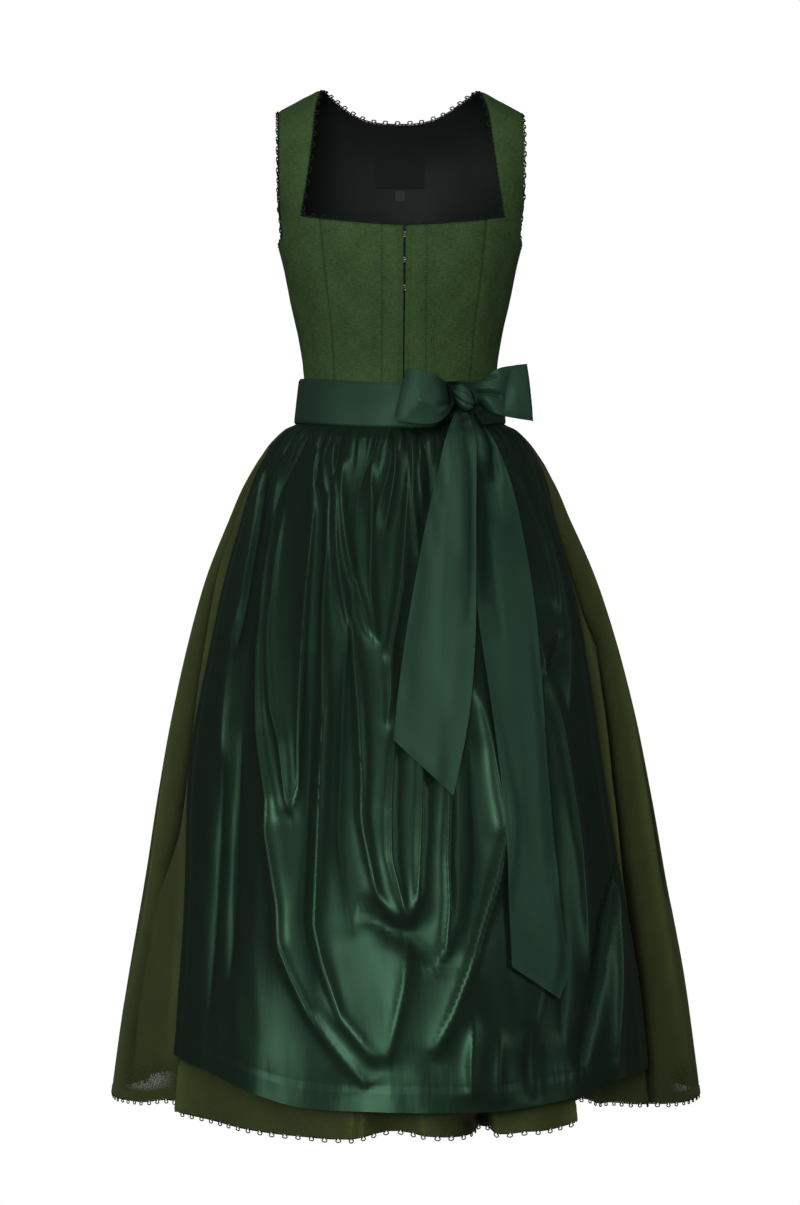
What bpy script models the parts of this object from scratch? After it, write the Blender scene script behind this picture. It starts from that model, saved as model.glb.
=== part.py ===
"""A dirndl dress, filled out as if worn: a linen bodice with wide straps, a gathered skirt, a taffeta
apron on a flat waistband tied in a bow, and crochet picot loops on its edges.

The dress stands in its own frame: +Z up, the front faces -Y, the wearer's left is +X, and the origin is
between the shoulder seams at the height of the neck points. Sizes are in millimetres and become metres
where a mesh is made. Angles are in degrees round the body from the centre front, towards +X.
"""

import math

import bmesh
import bpy
import numpy as np

# ---------------------------------------------------------------- driving dimensions, in millimetres

LINEN_WALL = 1.6
LINING_WALL = 1.0
SKIRT_WALL = 1.2
TAFFETA_WALL = 1.2
BAND_WALL = 2.2
SEAM_GAP = 0.3
SEAM_HALF_ANGLE = 0.09  # degrees: half a seam's gap at the bodice's radius

UNDERARM_Z = -190.0
WAIST_Z = -374.0
WAIST_DIP = 10.0  # how much lower the waistline is at the centre front
SHOULDER_SLOPE = 0.53
NECK_X = 95.0
ARMHOLE_X = 146.0

# The bodice's two profiles, from the shoulder ridge down: height, depth from the shoulder plane at
# the centre line, and half width of the whole form at that height.
PROFILE_COLUMNS = ("z", "depth", "half_width")
FRONT_PROFILE = (
    (0.0, 0.0, 191.0),
    (-8.0, 32.0, 189.5),
    (-25.0, 57.0, 186.0),
    (-60.0, 85.0, 177.0),
    (-100.0, 103.0, 166.0),
    (-140.0, 114.0, 156.0),
    (-165.0, 119.5, 150.5),
    (-185.0, 122.0, 147.0),
    (-211.0, 122.5, 140.5),
    (-255.0, 116.0, 131.5),
    (-300.0, 106.0, 121.5),
    (-345.0, 97.0, 115.5),
    (-374.0, 94.0, 115.0),
)
BACK_PROFILE = (
    (0.0, 0.0, 191.0),
    (-8.0, 34.0, 189.5),
    (-25.0, 60.0, 186.0),
    (-60.0, 84.0, 177.0),
    (-100.0, 96.0, 166.0),
    (-140.0, 100.0, 156.0),
    (-165.0, 101.0, 150.5),
    (-185.0, 101.0, 147.0),
    (-211.0, 99.5, 140.5),
    (-255.0, 95.0, 131.5),
    (-300.0, 91.0, 121.5),
    (-345.0, 88.0, 115.5),
    (-374.0, 88.0, 115.0),
)

# Cut lines of the bodice, as half widths at heights. The armhole's scoop is in degrees at heights.
PRINCESS_SEAM = ((-374.0, 79.0), (-300.0, 84.0), (-230.0, 92.0), (-165.0, 98.7))
STRAP_INNER_EDGE = ((-160.0, 121.0), (-105.0, 112.0), (-60.0, 106.5), (-20.0, 101.5), (0.0, NECK_X))
ARMHOLE_UNDER = ((-190.0, 90.0), (-183.0, 77.5), (-165.0, 72.5), (-150.0, 70.2), (-135.0, 68.2))
BACK_SEAM = (
    (-374.0, 56.0),
    (-300.0, 62.0),
    (-240.0, 75.0),
    (-200.0, 91.0),
    (-160.0, 115.0),
    (-122.0, 144.0),
)
NECKLINE_CENTRE_Z = -175.5
NECKLINE_SEAM_Z = -165.0
BACK_NECK_Z = -30.5
BACK_NECK_ROUND = 2.9  # 2 is a round scoop, more is squarer
CLOSING_GAP_TOP = 3.0
CLOSING_GAP_WAIST = 0.8

SIDE_HEIGHTS = (-374.0, -338.0, -295.0, -250.0, -214.0, -190.0, -183.0, -165.0)
STRAP_HEIGHTS = (-160.0, -135.0, -100.0, -70.0, -44.0, -23.0, -9.0, -2.2)
BACK_HEIGHTS = (-374.0, -338.0, -295.0, -250.0, -214.0, -190.0, -183.0, -160.0, -140.0, -122.0)
BACK_STRAP_HEIGHTS = (-90.0, -58.0, -32.0, -13.0, -3.5)
BACK_NECK_COLUMNS = 3

# The skirt's level sections: height, half width, depth to the front and depth to the back.
SECTION_COLUMNS = ("z", "half_width", "front", "back")
SKIRT_SECTIONS = (
    (-374.3, 115.0, 94.0, 88.0),
    (-386.0, 117.5, 97.0, 91.0),
    (-400.0, 121.5, 101.0, 95.0),
    (-405.0, 130.0, 106.0, 101.0),
    (-420.0, 148.0, 120.0, 114.0),
    (-440.0, 164.0, 134.0, 128.0),
    (-470.0, 183.0, 150.0, 144.0),
    (-520.0, 206.0, 172.0, 165.0),
    (-580.0, 231.5, 195.0, 187.0),
    (-650.0, 253.5, 218.0, 209.0),
    (-740.0, 275.5, 241.0, 232.0),
    (-840.0, 294.0, 261.0, 253.0),
    (-950.0, 311.0, 280.0, 274.0),
    (-1060.0, 330.0, 295.0, 290.0),
    (-1199.0, 348.0, 310.0, 305.0),
)
HEM_Z = -1199.0
BAND_COLUMNS = 40
HEM_SWAY = 8.0  # the skirt hangs a little to the wearer's left
SWAY_END_Z = -1100.0

# The skirt's waves at its hem, once round: where, how far out, and how much the hem rises. They grow
# from nothing at WAVE_TOP_Z.
WAVE_COLUMNS = ("angle", "out", "rise")
SKIRT_WAVES = (
    (-84.0, 0.0, 0.0),
    (-72.0, -14.0, 4.0),
    (-59.0, -26.0, 7.0),
    (-52.0, -18.0, 5.0),
    (-43.0, -12.0, 3.0),
    (-32.0, 4.0, 0.0),
    (-22.0, 10.0, -2.0),
    (-12.0, 12.0, -2.0),
    (-5.5, -12.0, 3.0),
    (4.0, 9.0, -1.0),
    (9.0, 6.0, -1.0),
    (15.0, -18.0, 4.0),
    (21.0, -1.0, 0.0),
    (30.0, -12.0, 3.0),
    (37.0, -24.0, 11.0),
    (45.0, -44.0, 14.0),
    (58.0, -44.0, 5.0),
    (68.0, -22.0, 0.0),
    (78.0, -6.0, -3.0),
    (89.0, 4.0, -2.0),
    (102.0, -14.0, 1.0),
    (113.0, 10.0, -1.0),
    (124.0, -16.0, 2.0),
    (137.0, 12.0, -1.0),
    (150.0, -18.0, 2.0),
    (163.0, 9.0, -1.0),
    (176.0, -13.0, 1.0),
    (189.0, 11.0, -1.0),
    (202.0, -15.0, 2.0),
    (214.0, 13.0, -1.0),
    (227.0, -17.0, 2.0),
    (239.0, 10.0, -1.0),
    (251.0, -12.0, 1.0),
    (263.0, 5.0, 0.0),
)
WAVE_TOP_Z = -400.0
WAVE_POWER = 1.6

SKIRT_GATHERS_QUARTER = 14
SKIRT_GATHER_DEPTH = 4.0
SHOWN_GATHERS = (72.0, 79.0)  # the skirt's front is plain where the apron covers it, up to here
APRON_GATHERS = 33
APRON_GATHER_DEPTH = 4.5
GATHER_END_Z = -600.0

# The apron's side edges and hem.
APRON_EDGE_COLUMNS = ("z", "right_hand", "left_hand")
APRON_EDGES = (
    (-400.0, -76.0, 76.0),
    (-440.0, -71.0, 70.0),
    (-500.0, -66.5, 60.5),
    (-570.0, -63.5, 55.5),
    (-660.0, -62.0, 53.5),
    (-800.0, -63.0, 52.0),
    (-930.0, -59.5, 54.0),
    (-1030.0, -57.0, 56.5),
    (-1145.0, -55.5, 58.5),
)
APRON_HEM_COLUMNS = ("angle", "z")
APRON_HEM = (
    (-54.0, -1131.0),
    (-42.0, -1142.0),
    (-32.0, -1156.0),
    (-22.0, -1168.0),
    (-8.0, -1171.0),
    (6.0, -1173.0),
    (15.0, -1173.0),
    (24.0, -1169.0),
    (34.0, -1163.0),
    (44.0, -1155.0),
    (54.0, -1153.0),
)
APRON_WAVE_COLUMNS = ("angle", "out")
APRON_WAVES = (
    (-62.0, -17.0),
    (-50.0, -10.0),
    (-40.0, -3.0),
    (-30.0, 10.0),
    (-20.0, 16.0),
    (-9.0, 17.0),
    (2.0, 15.0),
    (12.0, 13.0),
    (20.0, 6.0),
    (30.0, -2.0),
    (40.0, -16.0),
    (50.0, -28.0),
    (58.0, -30.0),
)
APRON_LIFT = 2.0  # clear of the skirt, between the layers
APRON_TOP_Z = -400.0
APRON_LEVEL_Z = -700.0  # the rows are level down to here, then turn towards the hem

# The apron's main folds: the angle where each starts, is half way and ends, the heights of its two
# ends, its half width in degrees, and how far it stands out.
# start, middle, end, z_start, z_end, half_width, height
APRON_FOLDS = (
    (-66.0, -57.0, -47.0, -430.0, -1200.0, 5.0, 8.0),
    (-60.0, -34.0, -18.0, -440.0, -1120.0, 6.5, 13.0),
    (-49.0, -34.0, -26.0, -440.0, -850.0, 4.5, 9.0),
    (-33.0, -21.0, -14.0, -420.0, -1080.0, 5.0, 9.0),
    (-29.0, -14.0, -4.0, -425.0, -960.0, 3.8, 8.0),
    (-8.0, -3.0, 0.0, -600.0, -965.0, 3.5, 7.0),
    (1.0, 4.5, 4.5, -620.0, -955.0, 3.2, 6.0),
    (16.0, 10.0, 7.0, -740.0, -1015.0, 3.6, 7.0),
    (29.0, 17.0, 3.0, -760.0, -1140.0, 5.5, 12.0),
    (38.0, 34.0, 30.0, -640.0, -1210.0, 4.5, 8.0),
    (60.0, 49.0, 47.0, -440.0, -1210.0, 4.5, 8.0),
)

# The band's level sections, to its outside.
BAND_SECTIONS = (
    (-347.0, 122.0, 101.5, 94.5),
    (-373.0, 125.5, 104.5, 98.0),
    (-399.7, 127.8, 105.5, 99.5),
)

# The ribbon's tails, row by row: left and right edge as they hang, each as x and z.
TAIL_COLUMNS = ("left_x", "left_z", "right_x", "right_z")
SHORT_TAIL = (
    (60.0, -392.4, 75.0, -391.4),
    (54.0, -406.0, 80.0, -403.0),
    (46.0, -427.0, 83.0, -424.0),
    (37.0, -462.0, 82.0, -460.0),
    (25.0, -508.0, 80.0, -508.0),
    (11.0, -572.0, 78.0, -575.0),
    (-3.0, -645.0, 75.0, -656.0),
    (-13.0, -712.0, 66.0, -742.0),
    (-19.0, -767.0, 47.0, -828.0),
)
LONG_TAIL = (
    (70.0, -395.5, 84.0, -391.5),
    (66.0, -408.0, 94.0, -404.0),
    (65.0, -430.0, 106.0, -426.0),
    (67.0, -465.0, 118.0, -458.0),
    (71.0, -520.0, 132.0, -515.0),
    (79.0, -625.0, 146.0, -612.0),
    (92.0, -730.0, 153.0, -712.0),
    (105.0, -850.0, 160.0, -832.0),
    (108.0, -940.0, 169.0, -945.0),
    (110.0, -990.0, 178.0, -1020.0),
    (111.0, -1017.0, 166.0, -1055.0),
)
TAIL_WALL = 1.2
TAIL_LIFT = 0.2  # off the highest place behind it
LONG_TAIL_REACH = 9.0  # how far to each side a tail looks for a fold to lie on
SHORT_TAIL_REACH = 28.0
TAILS_APART = 2.2

# The bow. Each loop is a ribbon that leaves the knot, turns back at its far end and returns behind,
# station by station: where its upper and lower edges are, its depth, and their heights.
LOOP_COLUMNS = ("x_top", "x_bottom", "y", "z_top", "z_bottom")
RIGHT_HAND_LOOP = (
    (55.3, 60.3, -105.0, -365.0, -381.0),
    (47.0, 50.0, -118.0, -357.0, -396.0),
    (35.0, 38.0, -128.0, -350.0, -405.0),
    (18.0, 20.0, -131.0, -346.0, -407.0),
    (6.0, -3.0, -128.0, -344.0, -404.0),
    (1.0, -12.0, -120.0, -345.0, -398.0),
    (6.0, -3.0, -113.0, -346.0, -401.0),
    (20.0, 18.0, -110.5, -350.0, -403.0),
    (36.0, 36.0, -108.0, -354.0, -400.0),
    (48.0, 48.0, -104.0, -358.0, -393.0),
    (54.8, 59.8, -99.0, -366.0, -381.0),
)
LEFT_HAND_LOOP = (
    (79.2, 84.0, -103.0, -362.0, -380.0),
    (95.0, 97.0, -107.0, -352.0, -389.0),
    (110.0, 112.0, -107.5, -341.0, -395.0),
    (128.0, 132.0, -104.0, -337.0, -399.0),
    (141.0, 148.0, -99.0, -335.0, -401.0),
    (145.0, 152.3, -94.5, -334.6, -401.4),
    (140.0, 147.0, -91.0, -336.0, -400.0),
    (127.0, 131.0, -91.0, -339.0, -398.0),
    (111.0, 111.0, -92.5, -344.0, -394.0),
    (97.0, 97.0, -94.0, -352.0, -387.0),
    (79.7, 84.5, -96.0, -363.0, -380.0),
)
LOOP_SWELL = 3.0
KNOT_CENTRE = (70.5, -95.0, -374.5)
KNOT_HALF_SIZE = (10.5, 13.0, 17.0)
KNOT_TILT = -30.0
KNOT_SEAT = 0.4  # off the band behind it
KNOT_SQUARENESS = 0.75  # 1 is an egg, less is a pillow

# Picot loops: pitch along each edge, width across a loop, height, and thread.
PICOT_WIDTH = 6.4
PICOT_HEIGHT = 5.2
PICOT_THREAD = 1.3
# One loop's turning points: how far along, in widths from its middle, and how far up, in heights.
PICOT_TURNS = ((-0.30, 0.0), (-0.50, 0.75), (0.22, 1.0), (0.30, 0.0))
NECK_PITCH = 15.0
ARMHOLE_PITCH = 13.0
HEM_PITCH = 16.0

LABEL_X = (-26.5, 33.5)
LABEL_Z = (-63.0, -105.0)
TAG_X = (-1.5, 10.5)
TAG_Z = (-107.5, -120.0)
LABEL_WALL = 0.8
LABEL_GAP = 0.4

HOOK_HEIGHTS = (-186.0, -216.0, -248.0)
HOOK_WIRE = 1.1
HOOK_WIDTH = 7.0
HOOK_TALL = 5.0
HOOK_SETBACK = 0.7  # behind the closing's inner face

METRE = 0.001


# ---------------------------------------------------------------- shared helpers


def smooth(knots, values, at):
    """A smooth curve through values at rising knots, with gentle tangents, read at any places."""
    knots = np.asarray(knots, float)
    values = np.asarray(values, float)
    at = np.clip(np.asarray(at, float), knots[0], knots[-1])
    slopes = np.gradient(values, knots)
    left = np.clip(np.searchsorted(knots, at, side="right") - 1, 0, len(knots) - 2)
    span = knots[left + 1] - knots[left]
    t = (at - knots[left]) / span
    a = (1 + 2 * t) * (1 - t) ** 2 * values[left]
    b = t * (1 - t) ** 2 * span * slopes[left]
    c = t**2 * (3 - 2 * t) * values[left + 1]
    d = t**2 * (t - 1) * span * slopes[left + 1]
    return a + b + c + d


def column(table, names, name):
    return np.array([row[names.index(name)] for row in table])


def at_height(table, names, name, z):
    """A named column of a table that runs downwards, read smoothly at any height."""
    return smooth(column(table, names, "z")[::-1], column(table, names, name)[::-1], z)


def ease(at, start, end):
    """0 before start, 1 after end, smooth between."""
    t = np.clip((np.asarray(at, float) - start) / (end - start), 0.0, 1.0)
    return t * t * (3 - 2 * t)


def material(name, colour, roughness, metallic=0.0):
    made = bpy.data.materials.new(name)
    made.use_nodes = True
    shader = made.node_tree.nodes["Principled BSDF"]
    shader.inputs["Base Color"].default_value = (*colour, 1.0)
    shader.inputs["Roughness"].default_value = roughness
    shader.inputs["Metallic"].default_value = metallic
    return made


def add_object(name, points, faces, finish):
    """One object from points in millimetres. Its faces are turned to point out."""
    mesh = bpy.data.meshes.new(name)
    mesh.from_pydata((np.asarray(points) * METRE).tolist(), [], faces)
    work = bmesh.new()
    work.from_mesh(mesh)
    bmesh.ops.recalc_face_normals(work, faces=work.faces)
    work.to_mesh(mesh)
    work.free()
    mesh.shade_smooth()
    mesh.set_sharp_from_angle(angle=math.radians(50))
    made = bpy.data.objects.new(name, mesh)
    made.data.materials.append(finish)
    bpy.context.scene.collection.objects.link(made)
    return made


def stitch(upper, lower, upper_at, lower_at):
    """Triangles between two rows of point numbers, which may differ in count."""
    faces = []
    i = j = 0
    while i < len(upper) - 1 or j < len(lower) - 1:
        next_upper = upper_at[i + 1] if i < len(upper) - 1 else math.inf
        next_lower = lower_at[j + 1] if j < len(lower) - 1 else math.inf
        if next_upper <= next_lower:
            faces.append((upper[i], upper[i + 1], lower[j]))
            i += 1
        else:
            faces.append((upper[i], lower[j + 1], lower[j]))
            j += 1
    return faces


def wall(name, rows, finish, ring=False):
    """A cloth wall. Each row is (places along it, outer points, inner points), top to bottom.

    A ring's rows close on themselves and leave out the repeated last point.
    """
    points = []
    outer = []
    inner = []
    for _, outside, inside in rows:
        for numbers, side in ((outer, outside), (inner, inside)):
            numbers.append(list(range(len(points), len(points) + len(side))))
            points.extend(side)
    faces = []
    for k in range(len(rows) - 1):
        ends = []
        for number in (k, k + 1):
            places = list(rows[number][0])
            row_outer = list(outer[number])
            row_inner = list(inner[number])
            if ring:
                places.append(places[0] + 1.0)
                row_outer.append(row_outer[0])
                row_inner.append(row_inner[0])
            ends.append((places, row_outer, row_inner))
        (up_at, up_outer, up_inner), (low_at, low_outer, low_inner) = ends
        faces += stitch(up_outer, low_outer, up_at, low_at)
        faces += [face[::-1] for face in stitch(up_inner, low_inner, up_at, low_at)]
    rims = [(outer[0], inner[0]), (outer[-1], inner[-1])]
    if ring:
        rims = [(a + a[:1], b + b[:1]) for a, b in rims]
    else:
        for end in (0, -1):
            rims.append(([row[end] for row in outer], [row[end] for row in inner]))
    for along, beside in rims:
        for k in range(len(along) - 1):
            faces.append((along[k], along[k + 1], beside[k + 1]))
            faces.append((along[k], beside[k + 1], beside[k]))
    return add_object(name, points, faces, finish)


def tube(name, path, radius, finish, sides=3, closed=False, facing=None):
    """A thread or wire along a path. Facing gives each point's outward direction."""
    path = np.asarray(path, float)
    count = len(path)
    if closed:
        ahead = np.roll(path, -1, axis=0) - path
        behind = path - np.roll(path, 1, axis=0)
    else:
        ahead = np.vstack([path[1:] - path[:-1], path[-1:] - path[-2:-1]])
        behind = np.vstack([path[1:2] - path[:1], path[1:] - path[:-1]])
    ahead /= np.linalg.norm(ahead, axis=1, keepdims=True)
    behind /= np.linalg.norm(behind, axis=1, keepdims=True)
    along = ahead + behind
    along /= np.linalg.norm(along, axis=1, keepdims=True)
    facing = np.asarray(facing, float)
    first = facing - (facing * along).sum(axis=1, keepdims=True) * along
    first /= np.linalg.norm(first, axis=1, keepdims=True)
    second = np.cross(along, first)
    points = []
    for k in range(count):
        for side in range(sides):
            turn = 2 * math.pi * side / sides
            points.append(path[k] + radius * (math.cos(turn) * first[k] + math.sin(turn) * second[k]))
    faces = []
    for k in range(count if closed else count - 1):
        after = (k + 1) % count
        for side in range(sides):
            beside = (side + 1) % sides
            quad = (k * sides + side, k * sides + beside, after * sides + beside, after * sides + side)
            faces += [quad[:3], (quad[0], quad[2], quad[3])]
    if not closed:
        faces.append(tuple(reversed(range(sides))))
        faces.append(tuple(range((count - 1) * sides, count * sides)))
    return add_object(name, points, faces, finish)


# ---------------------------------------------------------------- the bodice's form


def ridge_path():
    """The profile over the shoulder as one path: its length from the ridge (front negative), z, y, width."""
    front = FRONT_PROFILE[::-1]
    rows = front + BACK_PROFILE[1:]
    side = np.where(np.arange(len(rows)) < len(front), -1.0, 1.0)
    z = column(rows, PROFILE_COLUMNS, "z")
    y = column(rows, PROFILE_COLUMNS, "depth") * side
    width = column(rows, PROFILE_COLUMNS, "half_width")
    step = np.hypot(np.diff(z), np.diff(y))
    length = np.concatenate([[0.0], np.cumsum(step)])
    length -= length[len(front) - 1]
    return length, z, y, width


PATH, PATH_Z, PATH_Y, PATH_WIDTH = ridge_path()
FINE_PATH = np.linspace(PATH[0], PATH[-1], 6001)
FINE_Z = smooth(PATH, PATH_Z, FINE_PATH)


def path_at(z, back=False):
    """How far along the profile a height lies, on the front or the back."""
    side = FINE_PATH >= 0 if back else FINE_PATH <= 0
    heights, lengths = FINE_Z[side], FINE_PATH[side]
    if back:
        heights, lengths = heights[::-1], lengths[::-1]
    return np.interp(z, heights, lengths)


def width_at(path):
    return smooth(PATH, PATH_WIDTH, path)


def angle_at(x, path):
    return np.degrees(np.arcsin(np.clip(np.asarray(x) / width_at(path), -1.0, 1.0)))


def waist_dip(cos_angle, y, z):
    """How much lower the waistline runs at the front, fading out above and below it."""
    near = ease(z, -280.0, -345.0) * (1 - ease(z, -420.0, -680.0))
    return WAIST_DIP * np.clip(cos_angle, 0.0, 1.0) ** 2 * (np.asarray(y) < 0) * near


def torso(angle, path):
    """A point of the bodice's outside."""
    turn = np.radians(angle)
    y = smooth(PATH, PATH_Y, path) * np.cos(turn)
    x = width_at(path) * np.sin(turn)
    z = smooth(PATH, PATH_Z, path)
    beyond = np.sqrt(np.maximum(np.abs(x) - NECK_X, 0.0) ** 2 + 9.0) - 3.0
    z = z - SHOULDER_SLOPE * beyond * (1 - ease(np.abs(path), 20.0, 190.0))
    z = z - waist_dip(np.cos(turn), y, z)
    return np.stack([x, y, z], axis=-1)


def torso_normal(angle, path):
    small = 0.5
    across = torso(angle + small, path) - torso(angle - small, path)
    along = torso(angle, path + small) - torso(angle, path - small)
    normal = np.cross(across, along)
    return normal / np.linalg.norm(normal, axis=-1, keepdims=True)


def torso_wall(name, angle, path, finish, inwards=0.0, thick=LINEN_WALL):
    """A wall on the bodice's form: a row of angles and path lengths for each row of points."""
    points = torso(angle, path)
    normal = torso_normal(angle, path)
    outside = points - inwards * normal
    inside = points - (inwards + thick) * normal
    places = np.linspace(0.0, 1.0, angle.shape[1])
    return wall(name, [(places, a, b) for a, b in zip(outside, inside)], finish)


def line(table, z):
    """A cut line's half width, or angle, at a height."""
    heights, places = zip(*table)
    return smooth(heights, places, z)


def armhole_angle(path):
    """The armhole's edge: a round scoop under the arm, then straight up as seen from the front."""
    z = smooth(PATH, PATH_Z, path)
    straight = angle_at(np.minimum(ARMHOLE_X, width_at(path)), path)
    return np.where(z < ARMHOLE_UNDER[-1][0], line(ARMHOLE_UNDER, z), straight)


def front_centre_grid():
    """From the closing to the princess seam, waist row first, on the wearer's left."""
    seam_path = path_at(np.array(SIDE_HEIGHTS))
    up = (seam_path - seam_path[0]) / (seam_path[-1] - seam_path[0])
    across = np.linspace(0.0, 1.0, 5)
    angle = np.zeros((len(up), len(across)))
    path = np.zeros_like(angle)
    top = path_at(NECKLINE_CENTRE_Z + (NECKLINE_SEAM_Z - NECKLINE_CENTRE_Z) * across**1.5)
    for row, t in enumerate(up):
        path[row] = seam_path[0] + (top - seam_path[0]) * t
        closing = (CLOSING_GAP_WAIST + (CLOSING_GAP_TOP - CLOSING_GAP_WAIST) * t) / 2
        seam_angle = angle_at(line(PRINCESS_SEAM, SIDE_HEIGHTS[row]), seam_path[row]) - SEAM_HALF_ANGLE
        closing_angle = angle_at(closing, path[row, 0])
        angle[row] = closing_angle + (seam_angle - closing_angle) * across
    return angle, path


def front_side_grid():
    """From the princess seam to the side seam, with the front half of the strap."""
    heights = np.array(SIDE_HEIGHTS + STRAP_HEIGHTS)
    path = np.append(path_at(heights), -SEAM_GAP)
    low = len(SIDE_HEIGHTS)
    seam = angle_at(line(PRINCESS_SEAM, heights[:low]), path[:low]) + SEAM_HALF_ANGLE
    strap = angle_at(line(STRAP_INNER_EDGE, np.append(heights[low:], 0.0)), path[low:])
    inner = np.concatenate([seam, strap])
    outer = np.minimum(armhole_angle(path), 90.0 - SEAM_HALF_ANGLE)
    across = np.linspace(0.0, 1.0, 6)
    angle = inner[:, None] + (outer - inner)[:, None] * across
    return angle, np.repeat(path[:, None], 6, axis=1)


def bodice_front(linen):
    for side, word in ((1, "left"), (-1, "right")):
        angle, path = front_centre_grid()
        torso_wall("bodice_front_centre_" + word, side * angle, path, linen)
        angle, path = front_side_grid()
        torso_wall("bodice_front_side_" + word, side * angle, path, linen)


def back_seam_angle(path, heights):
    return angle_at(line(BACK_SEAM, heights), path)


def back_side_grid():
    """From the side seam to the curved back seam, which runs into the armhole."""
    heights = np.array(BACK_HEIGHTS)
    path = path_at(heights, back=True)
    inner = back_seam_angle(path, heights) + SEAM_HALF_ANGLE
    outer = np.minimum(armhole_angle(path), 90.0 - SEAM_HALF_ANGLE)
    across = np.linspace(0.0, 1.0, 5)
    angle = inner[:, None] + (outer - inner)[:, None] * across
    return angle, np.repeat(path[:, None], 5, axis=1)


def back_top(share, edge_angle):
    """Path length of the back's top edge: the neckline's scoop, then the shoulder seam."""
    neck_angle = angle_at(NECK_X, 0.0)
    centre = path_at(BACK_NECK_Z, back=True)
    scoop = np.clip(1 - (np.abs(share) * edge_angle / neck_angle) ** BACK_NECK_ROUND, 0.0, 1.0)
    return SEAM_GAP + (centre - SEAM_GAP) * scoop


def back_shares():
    """Places across the back from edge to edge, with one at each neck point."""
    neck = angle_at(NECK_X, 0.0) / armhole_angle(0.0)
    scoop = np.linspace(0.0, neck, BACK_NECK_COLUMNS + 1)
    half = np.concatenate([scoop, np.linspace(neck, 1.0, 3)[1:]])
    return np.concatenate([-half[:0:-1], half])


def back_centre_grid():
    """Between the two back seams, with the back halves of the straps."""
    heights = np.array(BACK_HEIGHTS + BACK_STRAP_HEIGHTS)
    low = len(BACK_HEIGHTS)
    edge_path = np.append(path_at(heights, back=True), SEAM_GAP)
    seam = back_seam_angle(edge_path[:low], heights[:low]) - SEAM_HALF_ANGLE
    edge_angle = np.concatenate([seam, armhole_angle(edge_path[low:])])
    shares = back_shares()
    top = back_top(shares, armhole_angle(0.0))
    up = (edge_path - edge_path[0]) / (edge_path[-1] - edge_path[0])
    path = edge_path[0] + (top - edge_path[0]) * up[:, None]
    return np.interp(-path, -edge_path, edge_angle) * shares, path


def bodice_back(linen, satin):
    """The back's three linen pieces, each with its satin lining made from the same points, moved in."""
    inwards = LINEN_WALL + SEAM_GAP
    for side, word in ((1, "left"), (-1, "right")):
        angle, path = back_side_grid()
        torso_wall("bodice_back_side_" + word, side * angle, path, linen)
        torso_wall("lining_back_side_" + word, side * angle, path, satin, inwards, LINING_WALL)
    angle, path = back_centre_grid()
    torso_wall("bodice_back_centre", angle, path, linen)
    torso_wall("lining_back_centre", angle, path, satin, inwards, LINING_WALL)


def lining_inner():
    """The points of the back lining's inner face, waist row first."""
    angle, path = back_centre_grid()
    return torso(angle, path) - (LINEN_WALL + SEAM_GAP + LINING_WALL) * torso_normal(angle, path)


def sewn_patch(name, across, heights, finish):
    """A small flat woven piece on the lining's inner face, found from the lining's own points."""
    points = lining_inner()
    rows = []
    for z in np.linspace(heights[0], heights[1], 3):
        places = np.linspace(0.0, 1.0, 4)
        outside = []
        for x in across[0] + (across[1] - across[0]) * places:
            row_y = [np.interp(x, row[:, 0], row[:, 1]) for row in points]
            row_z = [np.interp(x, row[:, 0], row[:, 2]) for row in points]
            outside.append((x, np.interp(z, row_z, row_y) - LABEL_GAP, z))
        outside = np.array(outside)
        rows.append((places, outside, outside - (0.0, LABEL_WALL, 0.0)))
    return wall(name, rows, finish)


def front_hook(number, finish):
    """A closed hook and eye of bent wire, sewn behind the two edges of the closing."""
    height = HOOK_HEIGHTS[number]
    path = path_at(height)
    middle = torso(0.0, path)
    outward = torso_normal(0.0, path)
    up = np.cross(outward, (1.0, 0.0, 0.0))
    up = up if up[2] > 0 else -up
    start = middle - outward * (LINEN_WALL + HOOK_SETBACK + HOOK_WIRE / 2)
    points = []
    for k in range(7):
        turn = math.radians(-150 + 50 * k)
        away = np.array((math.cos(turn) * HOOK_WIDTH / 2, 0.0, 0.0))
        points.append(start + away + up * math.sin(turn) * HOOK_TALL / 2)
    facing = np.repeat(outward[None], len(points), axis=0)
    name = "front_hook_" + str(number + 1)
    return tube(name, points, HOOK_WIRE / 2, finish, sides=4, facing=facing)


# ---------------------------------------------------------------- skirt and apron


def section(angle, z, sections=SKIRT_SECTIONS):
    """A point of a level oval section, and its outward direction."""
    width = at_height(sections, SECTION_COLUMNS, "half_width", z)
    front = at_height(sections, SECTION_COLUMNS, "front", z)
    back = at_height(sections, SECTION_COLUMNS, "back", z)
    turn = np.radians(angle)
    depth = np.where(np.cos(turn) >= 0, front, back)
    x = width * np.sin(turn)
    y = -depth * np.cos(turn)
    outward = np.stack([depth * np.sin(turn), -width * np.cos(turn), np.zeros_like(x)], axis=-1)
    outward /= np.linalg.norm(outward, axis=-1, keepdims=True)
    sway = HEM_SWAY * ease(z, WAVE_TOP_Z, SWAY_END_Z)
    low = z - waist_dip(np.cos(turn), y, z)
    return np.stack([x + sway, y, low], axis=-1), outward


def wave_share(z):
    return np.clip((WAVE_TOP_Z - z) / (WAVE_TOP_Z - HEM_Z), 0.0, 1.2) ** WAVE_POWER


def around(angle, name):
    """A column of the skirt's waves at any angle, once round."""
    angles = column(SKIRT_WAVES, WAVE_COLUMNS, "angle")
    values = column(SKIRT_WAVES, WAVE_COLUMNS, name)
    knots = np.concatenate([angles[-3:] - 360, angles, angles[:3] + 360])
    wrapped = (np.asarray(angle, float) - angles[0]) % 360 + angles[0]
    return smooth(knots, np.concatenate([values[-3:], values, values[:3]]), wrapped)


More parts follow.
